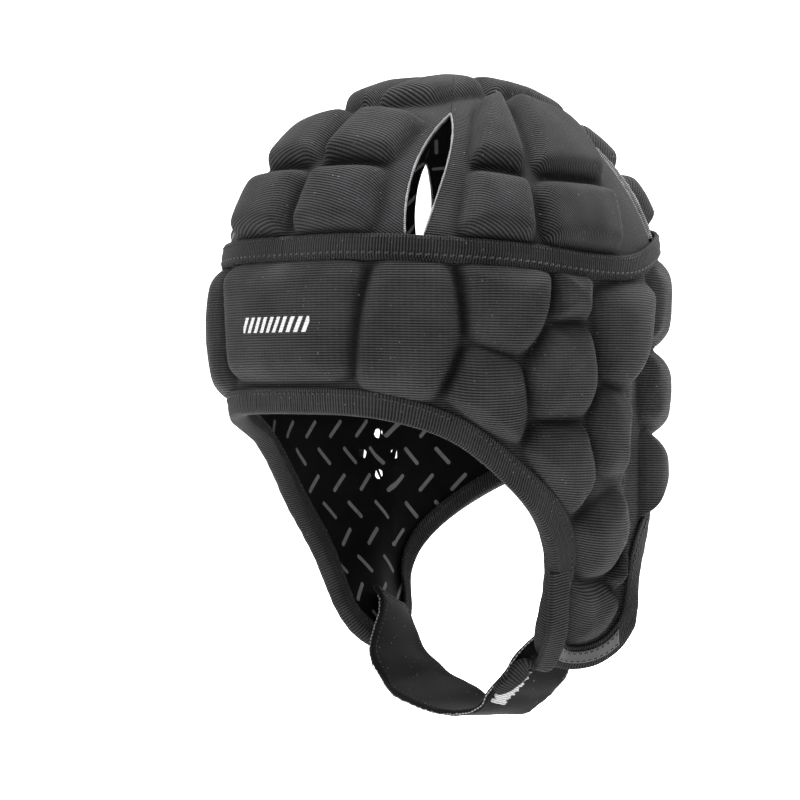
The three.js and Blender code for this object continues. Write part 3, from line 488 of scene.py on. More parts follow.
SIDE_PADS: dict[str, tuple[str, ...]] = {
    "temple": ("band_brow", "brow", "edge_brow", "edge_temple", "temple", "band_temple"),
    "cheek_upper": ("band_temple", "temple", "cheek", "cheek_upper", "band_cheek"),
    "ear_upper": ("band_cheek", "cheek_upper", "ear_upper", "band_ear"),
    "ear_front": ("cheek_upper", "cheek", "cheek_lower", "ear_lower", "ear_front", "ear_upper"),
    "cheek": ("temple", "edge_temple", "edge_cheek_top", "edge_cheek", "cheek_lower", "cheek"),
    "ear_rear": (
        "band_ear", "ear_upper", "ear_front", "ear_top", "ear_rear", "band_ear_rear", "band_ear_mid",
    ),
    "jaw_front": (
        "cheek_lower", "edge_cheek", "edge_cheek_low", "edge_jaw", "jaw_low", "jaw_upper", "ear_lower",
    ),
    "ear_lower": ("ear_front", "ear_lower", "jaw_upper", "jaw_mid", "ear_top"),
    "neck_upper": ("band_ear_rear", "ear_rear", "neck_upper", "band_neck"),
    "neck": ("ear_rear", "neck_mid", "nape_low", "neck_upper"),
    "neck_lower": ("neck_mid", "neck_low", "edge_neck", "edge_neck_mid", "edge_nape", "nape_low"),
    "flap_upper": (
        "jaw_upper", "jaw_low", "edge_jaw", "edge_jaw_low", "edge_flap_front", "flap_mid", "flap_rear",
        "jaw_mid",
    ),
    "flap_rear": (
        "flap_rear", "flap_mid", "edge_flap_back", "edge_flap_back_mid", "edge_neck_low", "edge_neck",
        "neck_low",
    ),
    "flap_lower": (
        "flap_mid", "edge_flap_front", "edge_flap_low", "edge_flap_corner", "edge_flap_end", "edge_flap_rear",
        "edge_flap_back",
    ),
    "nape_upper": ("band_neck", "neck_upper", "nape_upper", "band_nape"),
}
MIDDLE_PADS: dict[str, tuple[tuple[str, ...], int]] = {
    "pad_forehead": (("band_brow", "edge_brow", "edge_forehead"), 0),
    "pad_nape_lower": (("neck_upper", "nape_low", "edge_nape_mid"), LOOP),
}


@dataclass(frozen=True)
class PadStyle:
    """How a foam cell swells.

    Attributes:
        height: of its top over the shell.
        flank: how wide its sloping side is.
        groove: width of the channel between two cells.
        trim: how far it stays from the seam band or the binding.
        dome: how much its top is crowned.
        rounding: exponent of its corners, higher is sharper.
        foot: how softly its side starts, from 0, upright, to 1, level.
    """

    height: float
    flank: float
    groove: float
    trim: float
    dome: float
    rounding: float
    foot: float


CROWN_STYLE = PadStyle(height=6.7, flank=7.4, groove=2.6, trim=0.6, dome=1.4, rounding=6.5, foot=0.0)
SIDE_STYLE = PadStyle(height=6.2, flank=10.5, groove=0.6, trim=-0.2, dome=3.2, rounding=7.5, foot=0.0)


class FoamPad:
    """One foam cell: a soft-cornered polygon between its grooves, laid out flat where it touches."""

    def __init__(self, form: Form, places: Sequence[Place], insets: Sequence[float], style: PadStyle) -> None:
        """Lays the pad's joints out in the plane that touches the surface at their middle.

        Args:
            form: the surface it lies on.
            places: where its grooves meet, in order round it.
            insets: how far each side stays back from the line between two joints.
            style: how it swells.
        """
        self.style = style
        corners = HEAD.point(form, *np.array(places, float).T)
        self.origin = corners.mean(0)
        mean = np.array(places, float).mean(0)
        self.normal = HEAD.normal(form, mean[0], mean[1])
        upwards = np.array([0.0, 1, 0]) if abs(self.normal[2]) > 0.7 else np.array([0.0, 0, 1])
        self.across = unit(np.cross(upwards, self.normal))
        self.up = np.cross(self.normal, self.across)
        flat = self.flat(corners)
        following = np.roll(flat, -1, 0)
        cross = flat[:, 0] * following[:, 1] - following[:, 0] * flat[:, 1]
        self.middle = ((flat + following) * cross[:, None]).sum(0) / (3 * cross.sum())
        along = unit(following - flat)
        self.outwards = np.stack([along[:, 1], -along[:, 0]], -1) * np.sign(cross.sum())
        self.insets = np.array(insets)
        for _ in range(60):
            reach = self.reaches(flat)
            if reach.min() > 5:
                break
            self.middle = self.middle - 0.2 * self.outwards[reach.argmin()]
        self.reach = np.maximum(self.reaches(flat), 0.5)
        self.radius = np.linalg.norm(flat - self.middle, axis=-1).max() + 6

    def flat(self, points: Array) -> Array:
        """Where points lie in the pad's plane."""
        step = points - self.origin
        return np.stack([step @ self.across, step @ self.up], -1)

    def reaches(self, flat: Array) -> Array:
        """How far each side is from the pad's middle, less its inset."""
        return ((flat - self.middle) * self.outwards).sum(-1) - self.insets

    def height(self, points: Array, normals: Array) -> Array:
        """How high the pad stands over points of the shell.

        With f the power mean of the shares of the way to each side, the outline is f = 1, and the distance
        in from it is (1 - f) over the steepness of f. The flank rises along a rounded curve and the top is
        crowned by 1 - f squared.

        Args:
            points: points of the shell.
            normals: its normals there.

        Returns:
            The height, 0 outside the pad.
        """
        away = np.linalg.norm(points - self.origin, axis=-1)
        near = (away < self.radius + 12) & (normals @ self.normal > 0.2)
        result = np.zeros(points.shape[:-1])
        flat = self.flat(points[near]) - self.middle
        shares = np.maximum(flat @ self.outwards.T, 0) / self.reach
        p = self.style.rounding
        f = np.maximum((shares**p).sum(-1) ** (1 / p), 1e-6)
        steep = ((shares / f[:, None]) ** (p - 1)) @ (self.outwards / self.reach[:, None])
        inside = (1 - f) / np.maximum(np.linalg.norm(steep, axis=-1), 1e-6)
        x = np.clip(inside / self.style.flank, 0, 1)
        rise = mix((1 - (1 - x) ** 2.2) ** 0.8, smooth(x), self.style.foot)
        swell = self.style.height * rise + self.style.dome * np.clip(1 - f * f, 0, 1)
        result[near] = np.where(f < 1, swell, 0)
        return result

    def mirrored(self) -> "FoamPad":
        """The same pad on the other side of the cap."""
        copy = object.__new__(FoamPad)
        copy.__dict__.update(self.__dict__)
        flip = np.array([-1.0, 1, 1])
        copy.origin, copy.normal = self.origin * flip, self.normal * flip
        copy.across, copy.up = self.across * flip, self.up * flip
        return copy


def crown_place(name: str) -> Place:
    """The place of a crown joint, found by going round between its azimuth and its angle.

    Args:
        name: of the joint.

    Returns:
        Degrees from the crown towards the left and the back.
    """
    sector, across, down = CROWN_JOINTS[name]
    azimuth, angle = float(np.mean(SECTOR[sector].reach(40.0))), 40.0
    for _ in range(30):
        angle = down * float(HEAD.band_dip(azimuth))
        azimuth = mix(azimuth, mix(*SECTOR[sector].reach(angle), (across + 1) / 2), 0.7)
    return polar(azimuth, angle)


def side_insets(rims: Sequence[str], style: PadStyle) -> list[float]:
    """How far each side of a pad stays back: half a groove, or clear of the band or the binding.

    Args:
        rims: for each joint, band or edge where it is on one, otherwise empty.
        style: how the pad swells.

    Returns:
        One distance per side.
    """
    edge = {"band": BAND_WIDTH / 2 + style.trim, "edge": BINDING_OUTER_LEG + style.trim}
    pairs = zip(rims, [*rims[1:], rims[0]])
    return [edge.get(a, style.groove / 2) if a == b else style.groove / 2 for a, b in pairs]


def crown_pads() -> list[FoamPad]:
    """The pads of the crown, both halves."""
    pads = []
    for names in CROWN_PADS.values():
        rims = ["band" if CROWN_JOINTS[name][2] == 1 else "" for name in names]
        insets = side_insets(rims, CROWN_STYLE)
        pads.append(FoamPad(Form.CROWN, [crown_place(name) for name in names], insets, CROWN_STYLE))
    return pads + [pad.mirrored() for pad in pads]


def side_pads() -> list[FoamPad]:
    """The pads of the side wall: both halves, and the two on the middle line."""

    def pad(places: Sequence[Place]) -> FoamPad:
        """The pad between some joints, with the insets that their rims ask for."""
        rims = ["band" if t == 0 else "edge" if t == 1 else "" for _, t in places]
        return FoamPad(Form.SIDE, places, side_insets(rims, SIDE_STYLE), SIDE_STYLE)

    pads = [pad([SIDE_JOINTS[name] for name in names]) for names in SIDE_PADS.values()]
    pads += [one.mirrored() for one in pads]
    for names, turn in MIDDLE_PADS.values():
        left = [SIDE_JOINTS[name] for name in names]
        right = [(turn - s, t) for s, t in left if s != turn / 2]
        pads.append(pad([*left, *reversed(right)]))
    return pads


# Meshes


def make_piece(name: str, points: Array, faces: Array, **attributes: Array) -> bpy.types.Object:
    """Makes an object from whole arrays.

    Args:
        name: the piece's name.
        points: its vertices in millimetres.
        faces: its faces, three or four corners each, -1 where a fourth is missing.
        attributes: values per vertex, kept as three numbers each for the materials.

    Returns:
        The new object, at the origin.
    """
    counts = (faces >= 0).sum(1)
    corners = faces[faces >= 0]
    mesh = bpy.data.meshes.new(name)
    mesh.vertices.add(len(points))
    mesh.vertices.foreach_set("co", (points * MM).astype(np.float32).ravel())
    mesh.loops.add(len(corners))
    mesh.loops.foreach_set("vertex_index", corners.astype(np.int32))
    mesh.polygons.add(len(faces))
    mesh.polygons.foreach_set("loop_start", np.concatenate([[0], np.cumsum(counts)[:-1]]).astype(np.int32))
    mesh.polygons.foreach_set("loop_total", counts.astype(np.int32))
    mesh.update(calc_edges=True)
    for key, values in attributes.items():
        kept = np.zeros((len(points), 3), np.float32)
        values = values.reshape(len(points), -1)
        kept[:, : values.shape[1]] = values
        mesh.attributes.new(key, "FLOAT_VECTOR", "POINT").data.foreach_set("vector", kept.ravel())
    mesh.validate()
    mesh.shade_smooth()
    piece = bpy.data.objects.new(name, mesh)
    bpy.context.scene.collection.objects.link(piece)
    return piece


def grid_faces(rows: int, columns: int, closed: bool = False) -> Array:
    """Faces of a grid, each turned the same way.

    Args:
        rows: of points.
        columns: of points, numbered first.
        closed: whether the last column joins the first.

    Returns:
        Four corners per face.
    """
    j, i = np.meshgrid(np.arange(rows - 1), np.arange(columns if closed else columns - 1), indexing="ij")
    a = (j * columns + i).ravel()
    b = (j * columns + (i + 1) % columns).ravel()
    return np.stack([a, a + columns, b + columns, b], -1)


def sheet_solid(outer: Array, inner: Array, faces: Array) -> tuple[Array, Array, Array]:
    """A closed solid from two layers with the same faces, walled along every free edge.

    Args:
        outer: vertices of the outer layer.
        inner: vertices of the inner layer, in the same order.
        faces: four-cornered faces of the outer layer, turned outwards.

    Returns:
        The vertices, the faces, and for each vertex the one of the given layer that it came from.
    """
    key = np.round(outer * 1000).astype(np.int64)
    _, first, place = np.unique(key, axis=0, return_index=True, return_inverse=True)
    place = place.ravel()
    whole = place[faces]
    same = whole == np.roll(whole, -1, 1)
    whole = whole[same.sum(1) < 2]
    same = same[same.sum(1) < 2]
    for row in np.flatnonzero(same.any(1)):
        corners = [c for c, s in zip(whole[row], same[row]) if not s]
        whole[row] = [*corners, -1]
    count = len(first)
    back = np.where(whole < 0, -1, whole + count)
    three = whole[:, 3] < 0
    back[~three] = back[~three][:, ::-1]
    back[three] = back[three][:, [2, 1, 0, 3]]
    ends = [np.stack([whole[:, k], whole[:, (k + 1) % 4]], -1) for k in range(2)]
    ends.append(np.stack([whole[:, 2], np.where(three, whole[:, 0], whole[:, 3])], -1))
    ends.append(np.stack([whole[~three, 3], whole[~three, 0]], -1))
    edges = np.concatenate(ends)
    code = edges[:, 0].astype(np.int64) * count + edges[:, 1]
    reverse = edges[:, 1].astype(np.int64) * count + edges[:, 0]
    free = edges[~np.isin(code, reverse)]
    walls = np.stack([free[:, 1], free[:, 0], free[:, 0] + count, free[:, 1] + count], -1)
    points = np.concatenate([outer[first], inner[first]])
    return points, np.concatenate([whole, back, walls]), np.concatenate([first, first])


def loft(count: int, sides: int, closed: bool) -> Array:
    """Faces between rings of points that are each closed on themselves.

    Args:
        count: how many rings there are.
        sides: points in each.
        closed: whether the last ring joins the first.

    Returns:
        The faces, numbered ring by ring.
    """
    j, i = np.meshgrid(np.arange(count if closed else count - 1), np.arange(sides), indexing="ij")
    over, up = (i + 1) % sides, (j + 1) % count
    return np.stack([j * sides + i, j * sides + over, up * sides + over, up * sides + i], -1).reshape(-1, 4)


def waves(points: Array, length: float, seed: int) -> Array:
    """A smooth random field of about -1 to 1: a sum of sine waves in seeded directions.

    Args:
        points: where it is wanted, in millimetres.
        length: how long the waves are.
        seed: chooses the directions.

    Returns:
        One value per point.
    """
    rng = np.random.default_rng(seed)
    total = np.zeros(points.shape[:-1])
    for _ in range(7):
        direction = unit(rng.normal(size=3))
        wave = length * rng.uniform(0.7, 1.5)
        total = total + np.sin(points @ direction * 2 * np.pi / wave + rng.uniform(0, 6.3))
    return total / 3.5


# Materials


def linear(code: str) -> tuple[float, float, float, float]:
    """A colour for Blender from an sRGB hex code."""
    shares = [int(code[k : k + 2], 16) / 255 for k in (1, 3, 5)]
    return (*(c / 12.92 if c <= 0.04045 else ((c + 0.055) / 1.055) ** 2.4 for c in shares), 1.0)


class Graph:
    """A small writer of shader nodes, so that a formula reads like one."""

    def __init__(self, name: str) -> None:
        """Starts a material with its one shader."""
        self.material = bpy.data.materials.new(name)
        self.material.use_nodes = True
        self.tree = self.material.node_tree
        self.shader = self.tree.nodes["Principled BSDF"]

    def add(
        self, kind: str, *values: object, inputs: dict[str | int, object] | None = None,
        output: int | str = 0, **settings: object,
    ) -> bpy.types.NodeSocket:
        """Adds a node.

        Args:
            kind: its type without the leading ShaderNode.
            *values: for its first sockets: others to join to them, or their own values.
            inputs: the same for sockets by name or number.
            output: which of its outputs is wanted.
            **settings: its properties.

        Returns:
            The output.
        """
        node = self.tree.nodes.new("ShaderNode" + kind)
        for key, value in settings.items():
            setattr(node, key, value)
        for key, value in {**dict(enumerate(values)), **(inputs or {})}.items():
            self.give(node.inputs[key], value)
        return node.outputs[output]

    def give(self, socket: bpy.types.NodeSocket, value: object) -> None:
        """Joins a socket to another one, or sets its value."""
        if isinstance(value, bpy.types.NodeSocket):
            self.tree.links.new(value, socket)
        else:
            socket.default_value = value

    def kept(self, attribute: str) -> tuple[bpy.types.NodeSocket, ...]:
        """The three numbers kept on the vertices under a name."""
        vector = self.add("Attribute", output="Vector", attribute_name=attribute)
        return tuple(self.add("SeparateXYZ", vector).node.outputs)

    def dress(
        self, colour: object, roughness: float, specular: float, sheen: float,
        bumps: Sequence[tuple[bpy.types.NodeSocket, float]],
    ) -> None:
        """Sets the shader.

        Args:
            colour: a colour, or a socket that gives it.
            roughness: of the surface.
            specular: how strongly it mirrors, where 0.5 is plastic.
            sheen: how much light its fibres catch at a low angle.
            bumps: heights from 0 to 1, and how deep each is in millimetres.
        """
        own = {
            "Base Color": colour, "Roughness": roughness, "Specular IOR Level": specular,
            "Sheen Weight": sheen, "Sheen Roughness": 0.45,
        }
        below = {}
        for height, depth in bumps:
            bump = {"Height": height, "Distance": depth * MM, "Strength": 1.0, **below}
            below = {"Normal": self.add("Bump", inputs=bump)}
        own.update(below)
        for key, value in own.items():
            self.give(self.shader.inputs[key], value)


@dataclass(frozen=True)
class Cloth:
    """A woven or knitted finish whose ribs follow the numbers kept on the vertices as weave.

    Attributes:
        name: of the material.
        colour: on its ribs' tops.
        dark: deep in the weave, partly the cloth's own tone and partly painted shade in the rib grooves, and
            in worn places.
        roughness: of its fibres.
        sheen: how much light they catch at a low angle.
        rib: distance from rib to rib, in millimetres.
        rib_depth: how deep the ribs are, in millimetres.
        along: distance from stitch to stitch along a rib.
        fuzz: depth of the fibres' unevenness.
        lint: share of light specks, from 0 to 1.
    """

    name: str
    colour: str
    dark: str
    roughness: float = 0.9
    sheen: float = 0.25
    rib: float = 1.0
    rib_depth: float = 0.12
    along: float = 1.3
    fuzz: float = 0.06
    lint: float = 0.0

    def graph(self) -> Graph:
        """The finish as a material.

        A rib is a sine across the weave with a faint one along it. Noise wears it in soft patches.

        Returns:
            The material's graph.
        """
        g = Graph(self.name)
        spot = g.add("TexCoord", output="Object")
        across, along, _ = g.kept("weave")
        turns = g.add("Math", across, 2 * math.pi / self.rib, operation="MULTIPLY")
        rib = g.add("Math", turns, operation="SINE")
        turns = g.add("Math", along, 2 * math.pi / self.along, operation="MULTIPLY")
        stitch = g.add("Math", turns, operation="SINE")
        knit = g.add("MapRange", g.add("Math", stitch, 0.14, rib, operation="MULTIPLY_ADD"), -0.75, 0.75)
        fibres = g.add("TexNoise", spot, inputs={"Scale": 2600.0, "Detail": 3.0})
        patches = g.add("TexNoise", spot, inputs={"Scale": 46.0, "Detail": 5.0})
        worn = g.add("Math", g.add("MapRange", patches, 0.3, 0.72), 0.32, operation="MULTIPLY")
        lift = g.add("Math", knit, 0.68, worn, operation="MULTIPLY_ADD")
        # The rib grooves take the dark colour, partly the cloth's own tone and partly painted shade, and the
        # ribs' tops the light one.
        ends = {6: linear(self.dark), 7: linear(self.colour)}
        colour = self.tint(g, g.add("Mix", lift, inputs=ends, output=2, data_type="RGBA"))
        g.dress(colour, self.roughness, 0.05, self.sheen, [(fibres, self.fuzz), (knit, self.rib_depth)])
        return g

    def tint(self, g: Graph, colour: bpy.types.NodeSocket) -> bpy.types.NodeSocket:
        """The cloth's colour with its specks of lint."""
        if not self.lint:
            return colour
        spot = g.add("TexCoord", output="Object")
        specks = g.add("TexNoise", spot, inputs={"Scale": 1300.0, "Detail": 0.0})
        share = g.add("MapRange", specks, 0.835, 0.87, 0.0, self.lint)
        return g.add("Mix", share, inputs={6: colour, 7: linear("#b8b8b8")}, output=2, data_type="RGBA")


@dataclass(frozen=True)
class PrintedKnit(Cloth):
    """The cover's stretch knit: painted shade darkens it deep in the grooves, with a row of slanted strokes
    on the forehead.

    Attributes:
        ink: the strokes' colour.
        half_pitch: half the distance from stroke to stroke.
        gap: how far from the middle between two strokes the ink starts.
        slant: how far a stroke leans, as a slope.
        half_height: of a stroke.
        half_length: of the row.
    """

    ink: str = "#b4b4b5"
    half_pitch: float = 1.9
    gap: float = 0.85
    slant: float = 0.45
    half_height: float = 3.0
    half_length: float = 18.4

    def tint(self, g: Graph, colour: bpy.types.NodeSocket) -> bpy.types.NodeSocket:
        """The knit's colour.

        Args:
            g: the material's graph.
            colour: of the bare knit.

        Returns:
            The colour with the painted shade in the grooves, the lint and the strokes.
        """
        # Painted shade: the knit goes towards black where the cover lies deep in a groove, by the weave's
        # third number.
        free = g.add("MapRange", g.kept("weave")[2], 0.0, 1.0, 0.08, 1.0)
        ends = {6: linear("#000000"), 7: colour}
        colour = super().tint(g, g.add("Mix", free, inputs=ends, output=2, data_type="RGBA"))
        x, up, shown = g.kept("print")
        leaning = g.add("Math", up, -self.slant, x, operation="MULTIPLY_ADD")
        stroke = g.add("Math", leaning, self.half_pitch, operation="PINGPONG")
        mark = g.add("Math", g.add("MapRange", stroke, self.gap, self.gap + 0.15), 0.8, operation="MULTIPLY")
        for value, end in ((up, self.half_height), (x, self.half_length)):
            away = g.add("Math", value, operation="ABSOLUTE")
            within = g.add("MapRange", away, end, end + 0.2, 1.0, 0.0)
            mark = g.add("Math", mark, within, operation="MULTIPLY")
        mark = g.add("Math", mark, shown, operation="MULTIPLY")
        return g.add("Mix", mark, inputs={6: colour, 7: linear(self.ink)}, output=2, data_type="RGBA")


@dataclass(frozen=True)
class PrintedLining:
    """Near-black lining cloth with grey pills printed in rows, each row turned against the next.

    Attributes:
        row_pitch: from row to row.
        pill_pitch: from pill to pill.
        half_length: of a pill's straight part.
        half_width: of a pill.
        ground: colour of the cloth.
        ink: colour of the pills.
    """

    row_pitch: float = 12.5
    pill_pitch: float = 17.0
    half_length: float = 4.6
    half_width: float = 0.95
    ground: str = "#020202"
    ink: str = "#4a4a4b"

    def graph(self) -> Graph:
        """The finish as a material.

        A pill is all that is within half its width of a straight line, which lies at 45 degrees in its cell.
        Every other row is shifted by half a pitch and mirrored.

        Returns:
            The material's graph.
        """
        g = Graph("printed_lining")
        spot = g.add("TexCoord", output="Object")
        down, along, _ = g.kept("weave")
        rows = g.add("Math", down, self.row_pitch, operation="DIVIDE")
        odd = g.add("Math", g.add("Math", rows, operation="FLOOR"), 1.0, operation="PINGPONG")
        pills = g.add("Math", along, self.pill_pitch, operation="DIVIDE")
        pills = g.add("Math", odd, 0.5, pills, operation="MULTIPLY_ADD")
        shares = (g.add("Math", value, operation="FRACT") for value in (pills, rows))
        x, y = (
            g.add("Math", share, pitch, -pitch / 2, operation="MULTIPLY_ADD")
            for share, pitch in zip(shares, (self.pill_pitch, self.row_pitch))
        )
        hand = g.add("Math", odd, 2.0, -1.0, operation="MULTIPLY_ADD")
        y = g.add("Math", y, hand, operation="MULTIPLY")
        length, width = (
            g.add("Math", g.add("Math", x, y, operation=way), math.sqrt(0.5), operation="MULTIPLY")
            for way in ("ADD", "SUBTRACT")
        )
        past = g.add("Math", length, operation="ABSOLUTE")
        past = g.add("Math", past, self.half_length, operation="SUBTRACT")
        past = g.add("Math", past, 0.0, operation="MAXIMUM")
        square = g.add("Math", past, past, operation="MULTIPLY")
        square = g.add("Math", width, width, square, operation="MULTIPLY_ADD")
        away = g.add("Math", square, operation="SQRT")
        pill = g.add("MapRange", away, self.half_width - 0.12, self.half_width + 0.12, 1.0, 0.0)
        noise = g.add("TexNoise", spot, inputs={"Scale": 420.0, "Detail": 3.0})
        worn = g.add("Math", pill, g.add("MapRange", noise, 0.25, 0.5, 0.75, 1.0), operation="MULTIPLY")
        ends = {6: linear(self.ground), 7: linear(self.ink)}
        colour = g.add("Mix", worn, inputs=ends, output=2, data_type="RGBA")
        fibres = g.add("TexNoise", spot, inputs={"Scale": 1500.0, "Detail": 2.0})
        g.dress(colour, 0.7, 0.04, 0.0, [(fibres, 0.05)])
        return g


class Finish(Enum):
    """Every finish of the cap. The ribs of the knit and the tape are drawn coarse enough to show."""

    # Polyester stretch knit: matt black with fine ribs that show on the swell of each pad
    COVER = PrintedKnit("stretch_knit_printed", "#2f2f30", "#000000", 0.8, 0.03, 1.05, 0.42, 1.9, lint=0.2)
    # Smooth lining jersey: nearly no light comes back but from its print
    LINING = PrintedLining()
    # Polyester grosgrain: dark, with strong ribs across the tape
    TAPE = Cloth("grosgrain", "#282829", "#000000", 0.75, 0.02, 1.25, 0.45, 2.4, lint=0.2)
    # Brushed web: the darkest cloth, almost without a weave, with some lint
    STRAP = Cloth("smooth_web", "#0c0c0d", "#040404", 0.85, 0.06, 0.8, 0.04, 0.9, fuzz=0.05, lint=0.3)
    # Sewing thread: slightly shiny humps, the pale one frayed
    THREAD = Cloth("dark_thread", "#141415", "#09090a", 0.7, 0.2, 0.5, 0.08, 0.9)
    PALE_THREAD = Cloth("pale_thread", "#8b8b8c", "#101011", 0.8, 0.1, 1.9, 0.1, 0.9)
    GREY_THREAD = Cloth("grey_thread", "#2f2f30", "#101011", 0.75)
    # Foam where it was cut: pale, open and rough
    CUT_FOAM = Cloth("cut_foam", "#8a8a8b", "#1c1c1d", 0.95, 0.1, 0.9, 0.1, 1.1, fuzz=0.2)
    # Nylon hooks: pale grey and coarse
    HOOKS = Cloth("pale_hooks", "#a9a9a8", "#5f5f5f", 0.75, 0.15, 1.2, 0.3, 1.2, fuzz=0.25)
    # Woven hem tape: a shade lighter than the knit beside it
    HEM = Cloth("hem_tape", "#454546", "#2a2a2b", 0.8, 0.25, 0.9, 0.1, 1.4)

    @cache
    def material(self) -> bpy.types.Material:
        """The material of this finish, made when it is first asked for."""
        return self.value.graph().material


def dress(piece: bpy.types.Object, finish: Finish) -> bpy.types.Object:
    """Gives a piece its finish and its slot, and has it ride on the cap's one body."""
    piece.data.materials.append(finish.material())
    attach(piece, "root")
    return piece


# The cover and the lining


def one_place(points: Array) -> tuple[Array, Array]:
    """Finds points at one place: the first of each place, and for each point the number of its place."""
    key = np.round(points * 1000).astype(np.int64)
    _, first, place = np.unique(key, axis=0, return_index=True, return_inverse=True)
    return first, place.ravel()


@dataclass(frozen=True)
class Sheet:
    """Places on a surface as a grid or several, with the faces between them.

    Attributes:
        form: the surface.
        u, v: the two numbers of each place.
        weave: millimetres across and along the cloth's ribs.
        faces: four corners each, turned outwards.
    """

    form: Form
    u: Array
    v: Array
    weave: Array
    faces: Array

    @classmethod
    def crown(cls, rows: int, detail: float, last: float = 0.998) -> "Sheet":
        """The crown as one polar grid per sector, which part at the vents.

        Each place is found by going round between its azimuth and its angle, as the sectors' borders lean.

        Args:
            rows: from the apex to the band.
            detail: columns as a share of the sectors' own.
            last: share of the way to the band where it ends.

        Returns:
            The sheet.
        """
        shares = np.linspace(0.004, last, rows)[:, None]
        grids = []
        first = 0
        for sector in SECTORS:
            columns = max(int(sector.columns * detail), 8)
            across = np.linspace(0, 1, columns)[None, :]
            angle = shares * 80 + 0 * across
            for _ in range(12):
                low, high = sector.reach(angle)
                azimuth = low * (1 - across) + high * across
                angle = shares * HEAD.band_dip(azimuth)
            a, b = (place.ravel() for place in polar(azimuth, angle))
            c, s = math.cos(math.radians(sector.weave_turn)), math.sin(math.radians(sector.weave_turn))
            weave = np.stack([b * c - a * s, a * c + b * s], -1) * (CROWN_HEIGHT * math.pi / 180)
            grids.append((a, b, weave, grid_faces(rows, columns) + first))
            first += rows * columns
        return cls(Form.CROWN, *(np.concatenate(part) for part in zip(*grids)))

    @classmethod
    def side(cls, rows: int, columns: int, start: float = 0.002) -> "Sheet":
        """The side wall as one grid, closer round the ears, its seam on the middle line behind.

        Args:
            rows: from the band to the edge.
            columns: round the head.
            start: share of the way from band to edge where it begins.

        Returns:
            The sheet.
        """
        fine = np.linspace(-HALF_LOOP, HALF_LOOP, 4001)
        steps = np.linalg.norm(np.diff(HEAD.side(fine, np.full_like(fine, 0.55)), axis=0), axis=-1)
        middles = (fine[1:] + fine[:-1]) / 2
        steps = steps * (1 + 1.1 * np.exp(-(((np.abs(middles) - EAR_HOLE_MIDDLE[0]) / 1.6) ** 4)))
        length = np.concatenate([[0], np.cumsum(steps)])
        s = np.interp(np.linspace(0, length[-1], columns), length, fine)
        s, t = (place.ravel() for place in np.meshgrid(s, np.linspace(start, 1, rows)))
        base = HEAD.side(s, t)
        along = WEAVE_REACH * np.arctan2(base[:, 0], -base[:, 1])
        return cls(Form.SIDE, s, t, np.stack([-base[:, 2], along], -1), grid_faces(rows, columns))

    def laid(self) -> tuple[Array, Array]:
        """Its points on the shell, and the shell's normals there."""
        return HEAD.point(self.form, self.u, self.v), HEAD.normal(self.form, self.u, self.v)


@dataclass(frozen=True)
class EarHole:
    """A round hole over an ear, or a dimple where it is blind.

    Attributes:
        middle: of the hole, on the shell.
        normal: the way it goes through.
        radius: of the hole.
        through: whether it goes right through.
    """

    middle: Array
    normal: Array
    radius: float
    through: bool

    @classmethod
    def both_sides(cls) -> "list[EarHole]":
        """Every hole and dimple, from their places across and up from the middle over the ear."""
        place = [np.asarray(x) for x in EAR_HOLE_MIDDLE]
        middle, normal = HEAD.side(*place), HEAD.normal(Form.SIDE, *place)
        across = unit(np.cross(np.array([0.0, 0, 1]), normal))
        up = np.cross(normal, across)
        flips = (np.array([1.0, 1, 1]), np.array([-1.0, 1, 1]))
        rows = [(x, y, EAR_HOLE_RADIUS, True) for x, y in EAR_HOLE_PLACES]
        rows += [(x, y, DIMPLE_RADIUS, False) for x, y in DIMPLE_PLACES]
        return [
            cls((middle + x * across + y * up) * flip, normal * flip, radius, through)
            for x, y, radius, through in rows for flip in flips
        ]

    def punch(self, points: Array, faces: Array) -> tuple[Array, Array]:
        """Opens the hole: the vertices inside it move out to its rim, and their faces go.

        Args:
            points: vertices.
            faces: faces between them.

        Returns:
            The vertices and the faces that are left.
        """
        step = points - self.middle
        depth = step @ self.normal
        flat = step - depth[:, None] * self.normal
        away = np.linalg.norm(flat, axis=-1)
        inside = (away < self.radius) & (np.abs(depth) < 14)
        moved = points.copy()
        moved[inside] += (self.radius / np.maximum(away[inside], 1e-6) - 1)[:, None] * flat[inside]
        return moved, faces[~inside[faces].all(1)]

    def dimple(self, base: Array) -> Array:
        """How deep a blind hole is at points of the shell, with soft flanks."""
        return 3.0 * smooth((self.radius + 1.2 - np.linalg.norm(base - self.middle, axis=-1)) / 2.0)


def pierced(sheet: Sheet, outer: Array, inner: Array) -> tuple[Array, Array, Array]:
    """Opens the ear holes through both layers of a sheet.

    Args:
        sheet: the sheet, left as it is where it is the crown's.
        outer: vertices of its outer layer.
        inner: vertices of its inner layer.

    Returns:
        Both layers, and the faces that are left.
    """
    faces = sheet.faces
    for hole in EarHole.both_sides() if sheet.form is Form.SIDE else ():
        if hole.through:
            outer, kept = hole.punch(outer, faces)
            inner, faces = hole.punch(inner, faces)[0], kept
    return outer, inner, faces


def softened(height: Array, base: Array, faces: Array, times: int) -> Array:
    """Heights evened out with their neighbours', as cloth does over the corners of foam.

    Args:
        height: per vertex.
        base: where the vertices are. Those at one place are taken as one.
        faces: four corners each.
        times: how often each height moves towards the mean of its faces.

    Returns:
        The softened heights.
    """
    first, place = one_place(base)
    corners = place[faces]
    values = height[first]
    count = np.bincount(corners.ravel(), minlength=len(first))
    for _ in range(times):
        mean = np.repeat(values[corners].mean(1), 4)
        values = mix(values, np.bincount(corners.ravel(), mean, len(first)) / np.maximum(count, 1), 0.8)
    return values[place]


